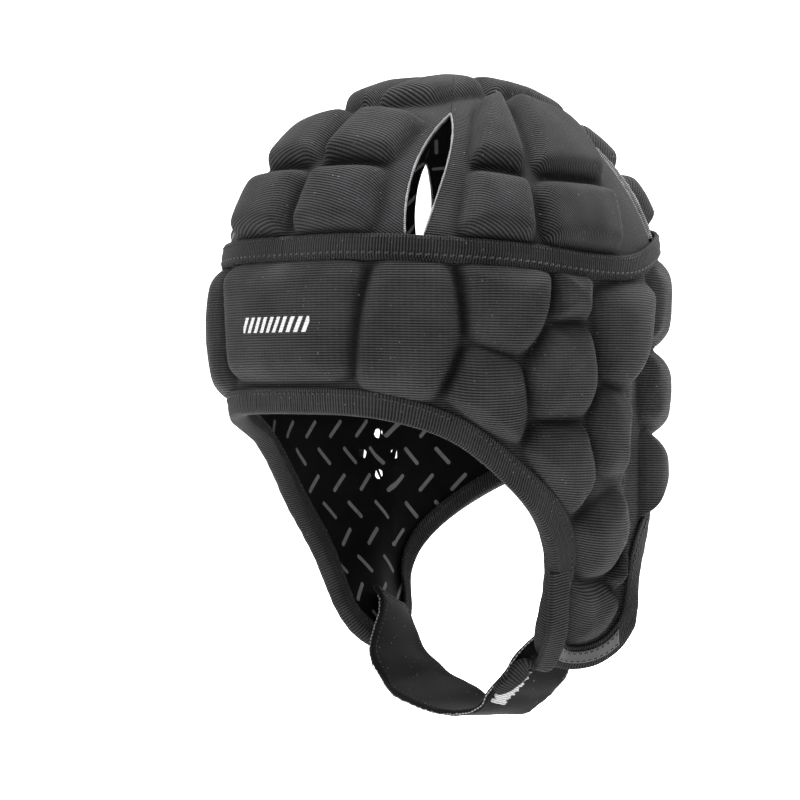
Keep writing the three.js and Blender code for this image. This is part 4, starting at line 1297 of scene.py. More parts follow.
@dataclass
class Cover:
    """The cloth over the foam: the shell moved out by the highest pad at each place, and a layer behind.

    Attributes:
        name: of the piece.
        sheet: where it lies.
        pads: that swell under it.
        replaced: the solids that it stands for.
        evened: how often its heights are evened out.
        groove_width: how often they are evened out to tell a groove from a pad, for the painted shade.
        groove_depth: below its surroundings, where the painted shade in a groove is darkest.
        print_middle: the forehead strokes' middle, towards the left and up.
        fill: not used.
    """

    name: str
    sheet: Sheet
    pads: Sequence[FoamPad]
    replaced: Sequence[str]
    evened: int = 3
    groove_width: int = 26
    groove_depth: float = 1.7
    print_middle: Place = (2.5, -99.6)
    fill: float = 0.7

    def build(self) -> bpy.types.Object:
        """Makes the piece, with its weave, its painted groove shade and the place of its print on the
        vertices.
        """
        base, normal = self.sheet.laid()
        height = np.max([pad.height(base, normal) for pad in self.pads], 0)
        height = softened(height, base, self.sheet.faces, self.evened)
        wrinkle = 0.28 * waves(base, 26, 3) + 0.12 * waves(base, 11, 4)
        outer = base + normal * (height + np.clip(height / 4, 0, 1) * wrinkle)[:, None]
        outer, inner, faces = pierced(self.sheet, outer, base - normal * SHELL_WALL)
        on_side = self.sheet.form is Form.SIDE
        for hole in EarHole.both_sides() if on_side else ():
            if not hole.through:
                outer = outer - normal * hole.dimple(base)[:, None]
        points, faces, origin = sheet_solid(outer, inner, faces)
        shown = (np.abs(base[:, 0]) < 40) & (base[:, 1] < 0) & on_side
        x, z = self.print_middle
        mark = np.stack([base[:, 0] - x, base[:, 2] - z, shown.astype(float)], -1)
        # Painted shade: how far each place lies below its evened surroundings darkens the knit there, kept as
        # the weave's third number.
        around = softened(height, base, self.sheet.faces, self.groove_width)
        groove_shade = np.clip((around - height) / self.groove_depth, 0, 1)
        weave = np.concatenate([self.sheet.weave, 1 - groove_shade[:, None]], -1)
        piece = make_piece(self.name, points, faces, weave=weave[origin], print=mark[origin])
        dress(piece, Finish.COVER)
        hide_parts(*self.replaced)
        return piece


@dataclass
class Lining:
    """The lining, a thin printed cloth that hangs a little slack.

    Attributes:
        thickness: at rest, past the solid lining's own.
        slack: how far it sways.
    """

    thickness: float = 0.3
    slack: float = 0.35

    def build(self) -> bpy.types.Object:
        """Makes the crown's part and the side wall's, and joins them in one piece."""
        parts = []
        count = 0
        for sheet in (Sheet.crown(56, 0.42, 1.0), Sheet.side(92, 420, 0.0)):
            base, normal = sheet.laid()
            sway = self.slack * (waves(base, 34, 6) + 0.6 * waves(base, 15, 7))
            inner = base - normal * (WALL + self.thickness + sway)[:, None]
            layers = pierced(sheet, base - normal * (SHELL_WALL + LAYER_GAP), inner)
            points, faces, origin = sheet_solid(*layers)
            parts.append((points, np.where(faces < 0, -1, faces + count), sheet.weave[origin]))
            count += len(points)
        points, faces, weave = (np.concatenate(part) for part in zip(*parts))
        piece = dress(make_piece("lining_cloth", points, faces, weave=weave), Finish.LINING)
        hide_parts("lining")
        return piece


# Tapes, stitches and the strap


def even(fine: Array, points: Array, count: int, closed: bool = True) -> Array:
    """Numbers along a line, evenly spaced by its length.

    Args:
        fine: closely spaced numbers along it.
        points: the line's points there.
        count: how many are wanted.
        closed: whether the last one is left out, as it is the first again.

    Returns:
        The numbers.
    """
    length = along_line(points)
    wanted = np.linspace(0, length[-1], count + 1 if closed else count)
    return np.interp(wanted[:-1] if closed else wanted, length, fine)


def along_line(points: Array) -> Array:
    """Distance along a line at each of its points."""
    steps = np.linalg.norm(np.diff(points, axis=0), axis=-1)
    return np.concatenate([[0], np.cumsum(steps)])


def round_line(points: Array) -> tuple[Array, float]:
    """Distance along a line that meets itself, and its whole length."""
    run = along_line(np.concatenate([points, points[:1]]))
    return run[:-1], run[-1]


def tangents(points: Array, closed: bool) -> Array:
    """Unit directions along a line at each of its points."""
    if closed:
        return unit(np.roll(points, -1, 0) - np.roll(points, 1, 0))
    return unit(np.gradient(points, axis=0))


def circle(sides: int) -> Array:
    """Angles evenly round a circle."""
    return 2 * np.pi * np.arange(sides) / sides


def woven(along: Array, across: Array) -> Array:
    """The weave's two numbers over rings: one for each ring, and one for each point of the section."""
    return np.stack(np.broadcast_arrays(along[:, None], across), -1)


def volume(points: Array, faces: Array) -> float:
    """Six times the volume inside faces that are turned outwards, less than 0 if they are turned inwards."""
    a, b, c = points[faces[:, 0]], points[faces[:, 1]], points[faces[:, 2]]
    total = np.einsum("ij,ij->i", a, np.cross(b, c)).sum()
    four = faces[:, 3] >= 0
    d = points[faces[four, 3]]
    return total + np.einsum("ij,ij->i", a[four], np.cross(c[four], d)).sum()


def turned_out(points: Array, faces: Array) -> Array:
    """The faces of a closed solid, each turned over if they face inwards."""
    if volume(points - points.mean(0), faces) < 0:
        return np.where(faces[:, 3:] < 0, faces[:, [2, 1, 0, 3]], faces[:, ::-1])
    return faces


def tube_piece(
    name: str, rings: Array, closed: bool, weave: Array, finish: Finish
) -> bpy.types.Object:
    """A piece from rings of points, its ends closed by a flat fan where it has any.

    Args:
        name: of the piece.
        rings: points, one ring per row.
        closed: whether the last ring joins the first.
        weave: millimetres across and along the ribs, per point.
        finish: its look.

    Returns:
        The piece.
    """
    count, sides = rings.shape[:2]
    points = rings.reshape(-1, 3)
    faces = loft(count, sides, closed)
    weave = weave.reshape(-1, 2)
    if not closed:
        i = np.arange(sides)
        j = (i + 1) % sides
        last = (count - 1) * sides
        fans = [
            np.stack([j, i, 0 * i + len(points), 0 * i - 1], -1),
            np.stack([last + i, last + j, 0 * i + len(points) + 1, 0 * i - 1], -1),
        ]
        points = np.concatenate([points, rings[[0, -1]].mean(1)])
        weave = np.concatenate([weave, weave[[0, last]]])
        faces = np.concatenate([faces, *fans])
    return dress(make_piece(name, points, turned_out(points, faces), weave=weave), finish)


@dataclass(frozen=True)
class Stitches:
    """A row of stitches: small thread humps, laid along a line.

    Attributes:
        name: of the piece.
        slot: not used.
        pitch: from one stitch to the next.
        length: of one stitch.
        radius: of its thread.
        finish: its look.
        lean: how far each stitch is turned across the line, as a slope.
        rings: along one stitch.
        sides: round its thread.
    """

    name: str
    slot: str
    pitch: float
    length: float
    radius: float
    finish: Finish = Finish.THREAD
    lean: float = 0.0
    rings: int = 5
    sides: int = 6

    def hump(self) -> tuple[Array, Array]:
        """One stitch lying along x: a tube that narrows and dips at both ends by the fourth power."""
        share = np.linspace(-1, 1, self.rings)
        size = np.sqrt(np.clip(1 - (0.94 * share) ** 4, 0, 1))
        turn = circle(self.sides)
        along = np.repeat(share * self.length / 2, self.sides)
        beside = (size[:, None] * np.cos(turn)).ravel() * self.radius
        dip = np.repeat(-self.radius * 0.9 * share**4, self.sides)
        out = (size[:, None] * np.sin(turn)).ravel() * self.radius + dip
        k = np.arange(1, self.sides - 1)
        top = (self.rings - 1) * self.sides
        low = np.stack([0 * k, k + 1, k, 0 * k - 1], -1)
        high = np.stack([0 * k + top, k + top, k + 1 + top, 0 * k - 1], -1)
        faces = np.concatenate([loft(self.rings, self.sides, False), low, high])
        return np.stack([along, beside, out], -1), faces

    def build(self, path: Array, normal: Array, closed: bool = True) -> bpy.types.Object:
        """Sews the row.

        Args:
            path: points of the line, closely spaced.
            normal: the way out of the cloth at each.
            closed: whether the line meets itself.

        Returns:
            The piece.
        """
        if closed:
            path, normal = np.concatenate([path, path[:1]]), np.concatenate([normal, normal[:1]])
        run = along_line(path)

        def at(values: Array, where: Array) -> Array:
            """Values kept along the line, at distances along it."""
            return np.stack([np.interp(where, run, values[:, k]) for k in range(3)], -1)

        count = max(int(run[-1] / self.pitch), 1)
        middles = (np.arange(count) + 0.5) * run[-1] / count
        out = unit(at(normal, middles))
        ahead = unit(at(path, middles + 0.3 * self.pitch) - at(path, middles - 0.3 * self.pitch))
        ahead = unit(ahead + self.lean * unit(np.cross(out, ahead)))
        axes = np.stack([ahead, unit(np.cross(out, ahead)), out], 1)
        local, one = self.hump()
        points = (at(path, middles)[:, None] + local @ axes).reshape(-1, 3)
        shift = (np.arange(count) * len(local))[:, None, None]
        faces = turned_out(points, np.where(one[None] < 0, -1, one[None] + shift).reshape(-1, 4))
        weave = np.tile(local[:, :2], (count, 1))
        return dress(make_piece(self.name, points, faces, weave=weave), self.finish)


def rounded_slab(half: float, low: float, high: float, across: int) -> Array:
    """A slab's section with rounded edges: pairs of across and out, all the way round.

    Args:
        half: of its width.
        low: its underside.
        high: its top.
        across: points over its width.

    Returns:
        The section.
    """
    r = (high - low) / 2
    x = np.linspace(-(half - r), half - r, across)
    turn = np.linspace(-np.pi / 2, np.pi / 2, 7)[1:-1]
    middle = (high + low) / 2
    right = np.stack([half - r + r * np.cos(turn), middle - r * np.sin(turn)], -1)
    left = np.stack([-(half - r) - r * np.cos(turn), middle + r * np.sin(turn)], -1)
    top, bottom = np.stack([x, 0 * x + high], -1), np.stack([x[::-1], 0 * x + low], -1)
    return np.concatenate([top, right, bottom, left])


@dataclass
class SeamBand:
    """The tape over the seam between crown and side wall, its twisted lower edge and its two stitch rows.

    Attributes:
        low: the tape's underside over the shell.
        top: its outer face over the shell.
        blend: how far from the seam the way out has turned from one surface's to the other's.
        sway: how uneven it lies.
        cord_radius: of the twisted edge.
        cord_groove: how much its radius changes.
        cord_twist: length of a turn of it.
    """

    low: float = 0.9
    top: float = SEAT_GAP + BAND_THICK
    blend: float = 3.0
    sway: float = 0.12
    cord_radius: float = 0.85
    cord_groove: float = 0.2
    cord_twist: float = 2.6

    def __post_init__(self) -> None:
        """Spaces the tape's rings evenly along the seam."""
        fine = np.linspace(0, LOOP, 3001)
        self.s = even(fine, HEAD.band(fine), 760)
        self.azimuth, self.dip = HEAD.band_azimuth(self.s), HEAD.dip(self.s)
        self.fall = np.linalg.norm(HEAD.slopes(Form.SIDE, self.s, 0 * self.s)[1], axis=-1)

    def at(self, w: float, out: float) -> Array:
        """Points all along the seam.

        Args:
            w: distance below the seam, or above it if less than 0.
            out: distance out of the shell.

        Returns:
            The points.
        """
        place = polar(self.azimuth, self.dip + np.degrees(min(w, 0) / CROWN_HEIGHT))
        below = (self.s, max(w, 0) / self.fall)
        share = smooth(np.array((w + self.blend) / (2 * self.blend)))
        way = unit(mix(HEAD.normal(Form.CROWN, *place), HEAD.normal(Form.SIDE, *below), share))
        return (HEAD.crown(*place) if w < 0 else HEAD.side(*below)) + way * out

    def tape(self) -> bpy.types.Object:
        """The flat tape."""
        section = rounded_slab(BAND_WIDTH / 2, self.low, self.top, 9)
        rings = np.stack([self.at(w, out) for w, out in section], 1)
        weave = woven(round_line(rings[:, 0])[0], section[:, 0])
        away = unit(rings - self.at(0, -20)[:, None, :])
        rings = rings + (self.sway * waves(rings, 16, 8))[..., None] * away
        tape = tube_piece("seam_tape", rings, True, weave, Finish.TAPE)
        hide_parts("seam_band")
        return tape

    def twisted_edge(self) -> bpy.types.Object:
        """The lower edge: a section of two lobes that turns as it goes round."""
        line = self.at(BAND_WIDTH / 2 + 0.1, 1.5)
        out = unit(self.at(BAND_WIDTH / 2, 3) - self.at(BAND_WIDTH / 2, 1))
        aside = unit(np.cross(out, tangents(line, True)))
        turn = circle(10)
        run, whole = round_line(line)
        twist = 2 * np.pi * round(whole / self.cord_twist) * run / whole
        size = self.cord_radius + self.cord_groove * np.cos(2 * turn - twist[:, None])
        rings = line[:, None] + (size * np.cos(turn))[..., None] * out[:, None]
        rings = rings + (size * np.sin(turn))[..., None] * aside[:, None]
        return tube_piece("seam_edge", rings, True, woven(run, turn), Finish.TAPE)

    def build(self) -> list[bpy.types.Object]:
        """Makes the tape, its stitches and its edge."""
        way = unit(self.at(0, 5) - self.at(0, 0))
        upper = Stitches("seam_stitches_upper", "band", 1.9, 1.35, 0.26)
        lower = Stitches("seam_stitches_lower", "band", 3.3, 2.3, 0.34, Finish.GREY_THREAD, 0.25)
        return [
            self.tape(),
            upper.build(self.at(1.5 - BAND_WIDTH / 2, self.top + 0.05), way),
            lower.build(self.at(BAND_WIDTH / 2 - 1.9, self.top + 0.05), way),
            self.twisted_edge(),
        ]


@dataclass(frozen=True)
class Edge:
    """The cap's lower edge, sampled all the way round.

    Attributes:
        s: station numbers.
        down: the way off the edge, in the wall.
        normal: the way out of the wall.
        fall: how far t = 1 goes down there.
        run: distance along the edge.
    """

    s: Array
    down: Array
    normal: Array
    fall: Array
    run: Array

    @classmethod
    def sampled(cls, count: int) -> "Edge":
        """The edge at evenly spaced places."""
        fine = np.linspace(-HALF_LOOP, HALF_LOOP, 4001)
        s = even(fine, HEAD.side(fine, 0 * fine + 1), count)
        one = 0 * s + 1
        along, fall = HEAD.slopes(Form.SIDE, s, one)
        normal = HEAD.normal(Form.SIDE, s, one)
        down = unit(np.cross(normal, along))
        down = down * np.sign((down * fall).sum(-1, keepdims=True))
        return cls(s, down, normal, (down * fall).sum(-1), round_line(HEAD.side(s, one))[0])

    def between(self, first: float, last: float) -> "Edge":
        """The part of it between two station numbers."""
        kept = (self.s > first) & (self.s < last)
        return Edge(self.s[kept], self.down[kept], self.normal[kept], self.fall[kept], self.run[kept])

    def at(self, up: float, out: float) -> Array:
        """Points a distance up the wall from the edge, or off it, and a distance out of the wall."""
        t = 1 - max(up, 0) / self.fall
        return HEAD.side(self.s, t) + HEAD.normal(Form.SIDE, self.s, t) * out - self.down * min(up, 0)


@dataclass
class EdgeBinding:
    """The tape folded over the cap's edge, with a stitch row outside and one inside.

    Attributes:
        tape: how far its faces are from the walls that it holds.
        fold: how far it goes past the edge.
        sway, bend: short and long unevenness.
        pinch: how far each stitch draws it in.
    """

    tape: float = 1.3
    fold: float = 2.35
    sway: float = 0.16
    bend: float = 0.22
    pinch: float = 0.1

    def __post_init__(self) -> None:
        """Works out where its faces lie."""
        self.inside = -WALL - TRIM_GAP
        self.outer, self.inner = TRIM_GAP + self.tape, self.inside - self.tape

    def section(self) -> list[Place]:
        """Pairs of up the wall and out of it: outer leg, fold, inner leg, and the faces by the wall."""
        outer, inner, inside, leg = self.outer, self.inner, self.inside, BINDING_OUTER_LEG
        turn = np.linspace(0, np.pi, 13)
        middle, half = (outer + inner) / 2, (outer - inner) / 2
        fold_out = middle + half * np.sign(np.cos(turn)) * np.abs(np.cos(turn)) ** 0.75
        fold_up = -self.fold * np.abs(np.sin(turn)) ** 0.8
        legs_out = [(leg, 1.0), (leg + 0.25, 1.5), (leg, outer - 0.1)]
        legs_out += [(up, outer) for up in (7.6, 6.6, 5.4, 4.2, 3.0, 1.8, 0.8)]
        legs_in = [(up, inner) for up in (0.8, 2.2, 3.6, 5.0)]
        legs_in += [(5.8, inner + 0.15), (BINDING_INNER_LEG, inside - 0.4), (5.8, inside)]
        backs = [(3.0, inside), (0.0, inside), (-0.9, inside + 0.5), (-0.9, 0.4)]
        backs += [(0.0, TRIM_GAP), (4.0, TRIM_GAP)]
        return [*legs_out, *zip(fold_up, fold_out), *legs_in, *backs]

    def build(self) -> list[bpy.types.Object]:
        """Makes the tape and its stitches."""
        edge = Edge.sampled(1150)
        section = self.section()
        rings = []
        for up, out in section:
            base = edge.at(up, out)
            moved = self.sway * waves(base, 9, 21) + self.bend * waves(base, 30, 22)
            if 0 < up < 7 and out > 0:
                moved = moved + self.pinch * np.sin(edge.run * 2 * np.pi / 3.1)
            way = 0.0 if out in (TRIM_GAP, self.inside) else 1.0 if out > 0 else -1.0
            rings.append(base + edge.normal * (way * moved)[:, None])
        weave = woven(edge.run, np.array([up for up, _ in section]))
        binding = tube_piece("binding_tape", np.stack(rings, 1), True, weave, Finish.TAPE)
        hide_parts("edge_binding")
        way = HEAD.normal(Form.SIDE, edge.s, 1 - 6.4 / edge.fall)
        outside = Stitches("binding_stitches", "binding", 2.7, 1.9, 0.3)
        inside = Stitches("binding_stitches_inside", "binding", 2.7, 1.9, 0.25)
        return [
            binding,
            outside.build(edge.at(6.4, self.outer + 0.12), way),
            inside.build(edge.at(3.9, self.inner - 0.1), -way),
        ]


@dataclass(frozen=True)
class StrapRow:
    """One free row of the chin strap, as shares of the cap's sizes.

    Attributes:
        x, y, drop: where its front edge is.
        rise, toe: how much its rear edge lies higher and further left, as slopes.
    """

    x: float
    y: float
    drop: float
    rise: float
    toe: float

    def points(self) -> Array:
        """Its front edge, middle and rear edge."""
        front = np.array([self.x * HALF_WIDTH, self.y * FRONT_REACH, GIRTH_Z - self.drop * EARFLAP_DROP])
        across = unit(np.array([self.toe, 1.0, self.rise])) * STRAP_WIDTH
        return front + np.array([[0.0], [0.5], [1.0]]) * across


@dataclass(frozen=True)
class SewnRow:
    """A row of the strap that is sewn inside an ear flap.

    Attributes:
        front, rear: places on the side wall of its two edges.
        over: what lies between it and the lining.
    """

    front: Place
    rear: Place
    over: float

    def points(self, hand: int) -> Array:
        """Its front edge, middle and rear edge, on the left for 1 and on the right for -1."""
        middle = tuple((a + b) / 2 for a, b in zip(self.front, self.rear))
        u, v = np.array([self.front, middle, self.rear]).T
        depth = WALL + self.over + 1.5 * TRIM_GAP + STRAP_THICK / 2
        return (HEAD.side(u, v) - HEAD.normal(Form.SIDE, u, v) * depth) * np.array([hand, 1, 1])


STRAP_ROWS = (
    StrapRow(-0.538, -0.08, 1.005, -0.04, -0.03),
    StrapRow(-0.442, -0.08, 1.084, 0.14, 0.03),
    StrapRow(-0.344, -0.1, 1.117, 0.17, 0.08),
    StrapRow(-0.11, -0.11, 1.147, 0.16, 0.03),
    StrapRow(0.086, -0.11, 1.154, -0.015, -0.05),
    StrapRow(0.282, -0.11, 1.132, -0.13, -0.08),
    StrapRow(0.393, -0.11, 1.075, -0.22, -0.03),
    StrapRow(0.503, -0.11, 1.024, -0.2, 0.03),
    StrapRow(0.555, -0.085, 0.975, -0.12, 0.04),
)
STRAP_SEWN = (
    SewnRow((7.7, 0.84), (9.25, 0.87), 0.0),
    SewnRow((7.75, 0.9), (9.25, 0.92), TRIM_GAP + BINDING_TAPE),
)
PATCH_FOOT = STRAP_THICK / 2 + LAYER_GAP
TONGUE_LIFT = PATCH_FOOT + PATCH_THICK + LAYER_GAP + TONGUE_THICK / 2


def catmull_rom(points: Array, k: Array) -> Array:
    """A smooth line through points, by a cubic between every two with slopes from their neighbours.

    Args:
        points: the first axis counts them.
        k: numbers that count them, whole or between.

    Returns:
        The line at those numbers.
    """
    last = len(points) - 1
    i = np.minimum(np.floor(k).astype(int), last - 1)
    f = (k - i).reshape(k.shape + (1,) * (points.ndim - 1))
    a, b, c, d = (points[np.clip(i + step, 0, last)] for step in (-1, 0, 1, 2))
    return b + 0.5 * f * (c - a + f * (2 * a - 5 * b + 4 * c - d + f * (3 * (b - c) + d - a)))


class Ribbon:
    """The strap's middle surface: a smooth line through its rows, and a parabola across them."""

    def __init__(self) -> None:
        """Gathers the rows, from the right flap to the left one."""
        rows = [row.points(-1) for row in STRAP_SEWN]
        rows += [row.points() for row in STRAP_ROWS]
        rows += [row.points(1) for row in reversed(STRAP_SEWN)]
        self.rows = np.array(rows)
        self.end = len(rows) - 1

    def middle(self, k: Array, across: Array) -> Array:
        """Points of it.

        Args:
            k: row numbers.
            across: from 0 at its front edge to 1 at its rear edge.

        Returns:
            The points.
        """
        k, across = np.broadcast_arrays(np.asarray(k, float), np.asarray(across, float))
        weights = (2 * (across - 0.5) * (across - 1), 4 * across * (1 - across), 2 * across * (across - 0.5))
        return (catmull_rom(self.rows, k) * np.stack(weights, -1)[..., None]).sum(-2)

    def normal(self, k: Array, across: Array) -> Array:
        """The way out of its outer face, away from the chin."""
        d = 0.05
        k, across = np.broadcast_arrays(np.asarray(k, float), np.asarray(across, float))
        along = self.middle(np.minimum(k + d, self.end), across) - self.middle(np.maximum(k - d, 0), across)
        return unit(np.cross(self.middle(k, across + d) - self.middle(k, across - d), along))

    def at(self, k: Array, across: Array, offset: Array) -> Array:
        """Points a distance out of it."""
        return self.middle(k, across) + self.normal(k, across) * np.asarray(offset)[..., None]

    def spaced(self, first: float, last: float, across: float, steps: int, count: int) -> Array:
        """Row numbers that are evenly spaced along it.

        Args:
            first: row they start from.
            last: row they end at.
            across: where their distance is measured.
            steps: how finely.
            count: how many are wanted.

        Returns:
            The numbers.
        """
        fine = np.linspace(first, last, steps)
        return even(fine, self.middle(fine, across), count, closed=False)


RIBBON = Ribbon()


@dataclass
class ChinStrap:
    """The chin strap: a soft web from the right ear flap to the left one, with frayed pale edges.

    Attributes:
        corner: radius of its far end's corners in plan.
        held: length at each end over which the sewing keeps it still.
        sway: unevenness of the whole web.
        flutter: unevenness of its edges.
        fray: radius of the frayed edge.
        edge_rows: shares of its width where the edges are stitched.
    """

    corner: float = 9.0
    held: float = 14.0
    sway: float = 0.25
    flutter: float = 0.5
    fray: float = 0.27
    edge_rows: tuple[float, float] = (0.075, 0.925)

    def rings(self) -> tuple[Array, Array, Array]:
        """Rings of the strap's section along it, with the numbers of their rows and their weave."""
        k = RIBBON.spaced(0, RIBBON.end, 0.5, 1200, 300)
        section = rounded_slab(STRAP_WIDTH / 2, -STRAP_THICK / 2, STRAP_THICK / 2, 27)
        run = along_line(RIBBON.middle(k, 0.5))
        left = run[-1] - run
        cut = self.corner - np.sqrt(np.maximum(self.corner**2 - (self.corner - left) ** 2, 0))
        narrow = np.where(left < self.corner, 1 - cut / STRAP_WIDTH * 2, 1)
        across = 0.5 + section[:, 0] / STRAP_WIDTH * narrow[:, None]
        rings = RIBBON.at(k[:, None], across, section[:, 1])
        edges = np.clip(np.abs(across - 0.5) * 2 - 0.6, 0, 1)
        moved = self.sway * waves(rings, 18, 31) + self.flutter * edges * waves(rings, 13, 32)
        moved = moved * smooth(run / self.held)[:, None] * smooth(left / self.held)[:, None]
        return rings + RIBBON.normal(k[:, None], across) * moved[..., None], k, woven(run, section[:, 0])

    def frayed_edge(self, name: str, rings: Array, k: Array, column: int, beside: int) -> bpy.types.Object:
        """A thin fuzzy thread along one edge of the web.

        Args:
            name: of the piece.
            rings: the web's.
            k: their row numbers.
            column: point of the section that it follows.
            beside: point of the section that it leans away from.

        Returns:
            The piece.
        """
        path = rings[8:-8, column] + 0.12 * unit(rings[8:-8, column] - rings[8:-8, beside])
        fuzz = 0.3 * waves(path, 3.1, 41) + 0.2 * waves(path, 7.3, 42)
        path = path + RIBBON.normal(k[8:-8], 0.5) * (0.5 + fuzz)[:, None]
        ahead = tangents(path, False)
        aside = unit(np.cross(ahead, np.array([0.31, 0.17, 0.93])))
        over = np.cross(aside, ahead)
        turn = circle(7)
        thread = np.cos(turn)[:, None] * aside[:, None] + np.sin(turn)[:, None] * over[:, None]
        rings = path[:, None] + self.fray * thread
        return tube_piece(name, rings, False, woven(along_line(path), turn), Finish.PALE_THREAD)

    def build(self) -> list[bpy.types.Object]:
        """Makes the web, its edges, their stitches and the tacks at both ends."""
        rings, k, weave = self.rings()
        strap = tube_piece("strap_web", rings, False, weave, Finish.STRAP)
        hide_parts("chin_strap")
        length = along_line(RIBBON.middle(np.linspace(0, RIBBON.end, 900), 0.5))[-1]
        pieces = [strap]
        for name, column, beside in (("front", 61, 60), ("rear", 29, 40)):
            pieces.append(self.frayed_edge(f"strap_edge_{name}", rings, k, column, beside))
        along, over = np.linspace(0.25, RIBBON.end - 0.2, 700), np.linspace(0.1, 0.9, 60)
        front, rear = self.edge_rows
        for stitches, where, under in (
            (Stitches("strap_stitches_front", "strap", 2.6, 1.8, 0.24), (along, front), 0.12),
            (Stitches("strap_stitches_rear", "strap", 2.6, 1.8, 0.24), (along, rear), 0.12),
            (Stitches("strap_tack_right", "strap", 2.1, 1.6, 0.28), (0.32, over), 0.15),
            (Stitches("strap_tack_left", "strap", 2.1, 1.6, 0.28), (RIBBON.end - 0.32, over), 0.15),
        ):
            path = RIBBON.at(*where, -STRAP_THICK / 2 - under)
            pieces.append(stitches.build(path, -RIBBON.normal(*where), closed=False))
        return pieces


@dataclass
class HookPatch:
    """The pale hook tape that shows between the tongue and the strap, its edges torn by two sines.

    Attributes:
        first, last: rows of the strap between which it lies.
        middle: share of the strap's width where its middle is.
        half_share: half its width, as a share of the strap's.
        fuzz: unevenness of its face.
    """

    first: float = 7.6
    last: float = 9.3
    middle: float = 0.21
    half_share: float = 0.13
    fuzz: float = 0.3

    def build(self) -> bpy.types.Object:
        """Makes the patch."""
        k = RIBBON.spaced(self.first, self.last, 0.2, 200, 44)
        section = rounded_slab(self.half_share * STRAP_WIDTH, PATCH_FOOT, PATCH_FOOT + PATCH_THICK, 12)
        run = along_line(RIBBON.middle(k, 0.2))
        torn = 1 + 0.16 * np.sin(run * 1.9) + 0.1 * np.sin(run * 4.3 + 1)
        across = self.middle + section[:, 0] / STRAP_WIDTH * torn[:, None]
        rings = RIBBON.at(k[:, None], across, section[:, 1])
        rings = rings + self.fuzz * waves(rings, 4, 51)[..., None] * RIBBON.normal(k[:, None], across)
        piece = tube_piece("hook_tape", rings, False, woven(run, section[:, 0]), Finish.HOOKS)
        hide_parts("hook_patch")
        return piece


@dataclass
class ClosureTongue:
    """The short grosgrain tongue, sewn to the left flap, that presses the strap closed.

    Attributes:
        pressed: rows of the strap that it crosses, and how far across each.
        root: station of the edge where it leaves the flap.
        root_out: how far out of the wall it is there.
        sewn: its line over the flap: station, distance up from the edge and out of the wall.
    """

    pressed: tuple[Place, ...] = ((8.3, -0.05), (9.0, 0.03), (9.7, 0.13))
    root: float = 7.5
    root_out: float = 3.4
    sewn: tuple[tuple[float, float, float], ...] = ((7.0, 3.0, 3.7), (6.5, 3.7, 2.6), (5.95, 3.9, 0.7))

    def line(self) -> Array:
        """Points of its middle line, from the free end to the end that is sewn over the flap."""
        place = (np.array(self.root), np.array(1.0))
        normal = HEAD.normal(Form.SIDE, *place)
        clear = 2 * LAYER_GAP + BINDING_TAPE + TONGUE_THICK
        down = unit(HEAD.slopes(Form.SIDE, *place)[1])
        root = HEAD.side(*place) + normal * (self.root_out - WALL / 2) + down * clear
        rows, across = (np.array(values, float) for values in zip(*self.pressed))
        s, up, out = (np.array(values, float) for values in zip(*self.sewn))
        t = 1 - up / np.linalg.norm(HEAD.slopes(Form.SIDE, s, 0 * s + 1)[1], axis=-1)
        over = HEAD.side(s, t) + HEAD.normal(Form.SIDE, s, t) * out[:, None]
        points = np.concatenate([RIBBON.at(rows, across, np.full(3, TONGUE_LIFT)), root[None], over])
        fine = np.linspace(0, len(points) - 1, 700)
        return catmull_rom(points, even(fine, catmull_rom(points, fine), 130, closed=False))

    def build(self) -> bpy.types.Object:
        """Makes the tongue, its free end rounded in plan."""
        line = self.line()
        ahead = tangents(line, False)
        row = self.pressed[1][0]
        sideways = RIBBON.middle(row, 1.0) - RIBBON.middle(row, 0.0)
        beside = unit(sideways - (ahead @ sideways)[:, None] * ahead)
        out = np.cross(beside, ahead)
        section = rounded_slab(TONGUE_WIDTH / 2, -TONGUE_THICK / 2, TONGUE_THICK / 2, 11)
        run = along_line(line)
        narrow = np.sqrt(np.clip(1 - (1 - np.clip(run / (TONGUE_WIDTH / 2), 0, 1)) ** 2, 0.02, 1))
        rings = line[:, None] + (section[:, 0] * narrow[:, None])[..., None] * beside[:, None]
        rings = rings + section[:, 1:] * out[:, None]
        tongue = tube_piece("tongue_tape", rings, False, woven(run, section[:, 0]), Finish.TAPE)
        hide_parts("closure_tongue")
        return tongue


@dataclass
class VentEdge:
    """The pale cut edge of the foam that shows all round a vent.

    Attributes:
        name: the end of its piece's name.
        vent: which opening.
        hand: 1 on the left, -1 on the right.
        wide, high: half the sizes of its oval section.
        ragged: share by which the section changes.
        sunk: how far it lies under the shell's face.
    """

    name: str
    vent: Vent
    hand: int
    wide: float = 0.42
    high: float = 0.85
    ragged: float = 0.25
    sunk: float = 0.35

    def build(self) -> bpy.types.Object:
        """Makes the edge, up one side of the vent and down the other."""
        end = float(HEAD.band_dip(self.vent.band)) * 0.955
        angle = np.linspace(self.vent.start + 0.05, end, 160)
        low, high = self.vent.edges(angle)
        place = polar(np.concatenate([low[::-1], high]), np.concatenate([angle[::-1], angle]))
        out = HEAD.normal(Form.CROWN, *place)
        flip = np.array([self.hand, 1, 1])
        path, out = (HEAD.crown(*place) - out * self.sunk) * flip, out * flip
        beside = unit(np.cross(out, tangents(path, False)))
        turn = circle(8)
        ragged = 1 + self.ragged * waves(path, 3.5, 61)[:, None]
        rings = path[:, None] + (self.wide * ragged * np.cos(turn))[..., None] * beside[:, None]
        rings = rings + (self.high * ragged * np.sin(turn))[..., None] * out[:, None]
        weave = woven(along_line(path), turn)
        return tube_piece(f"vent_edge_{self.name}", rings, False, weave, Finish.CUT_FOAM)


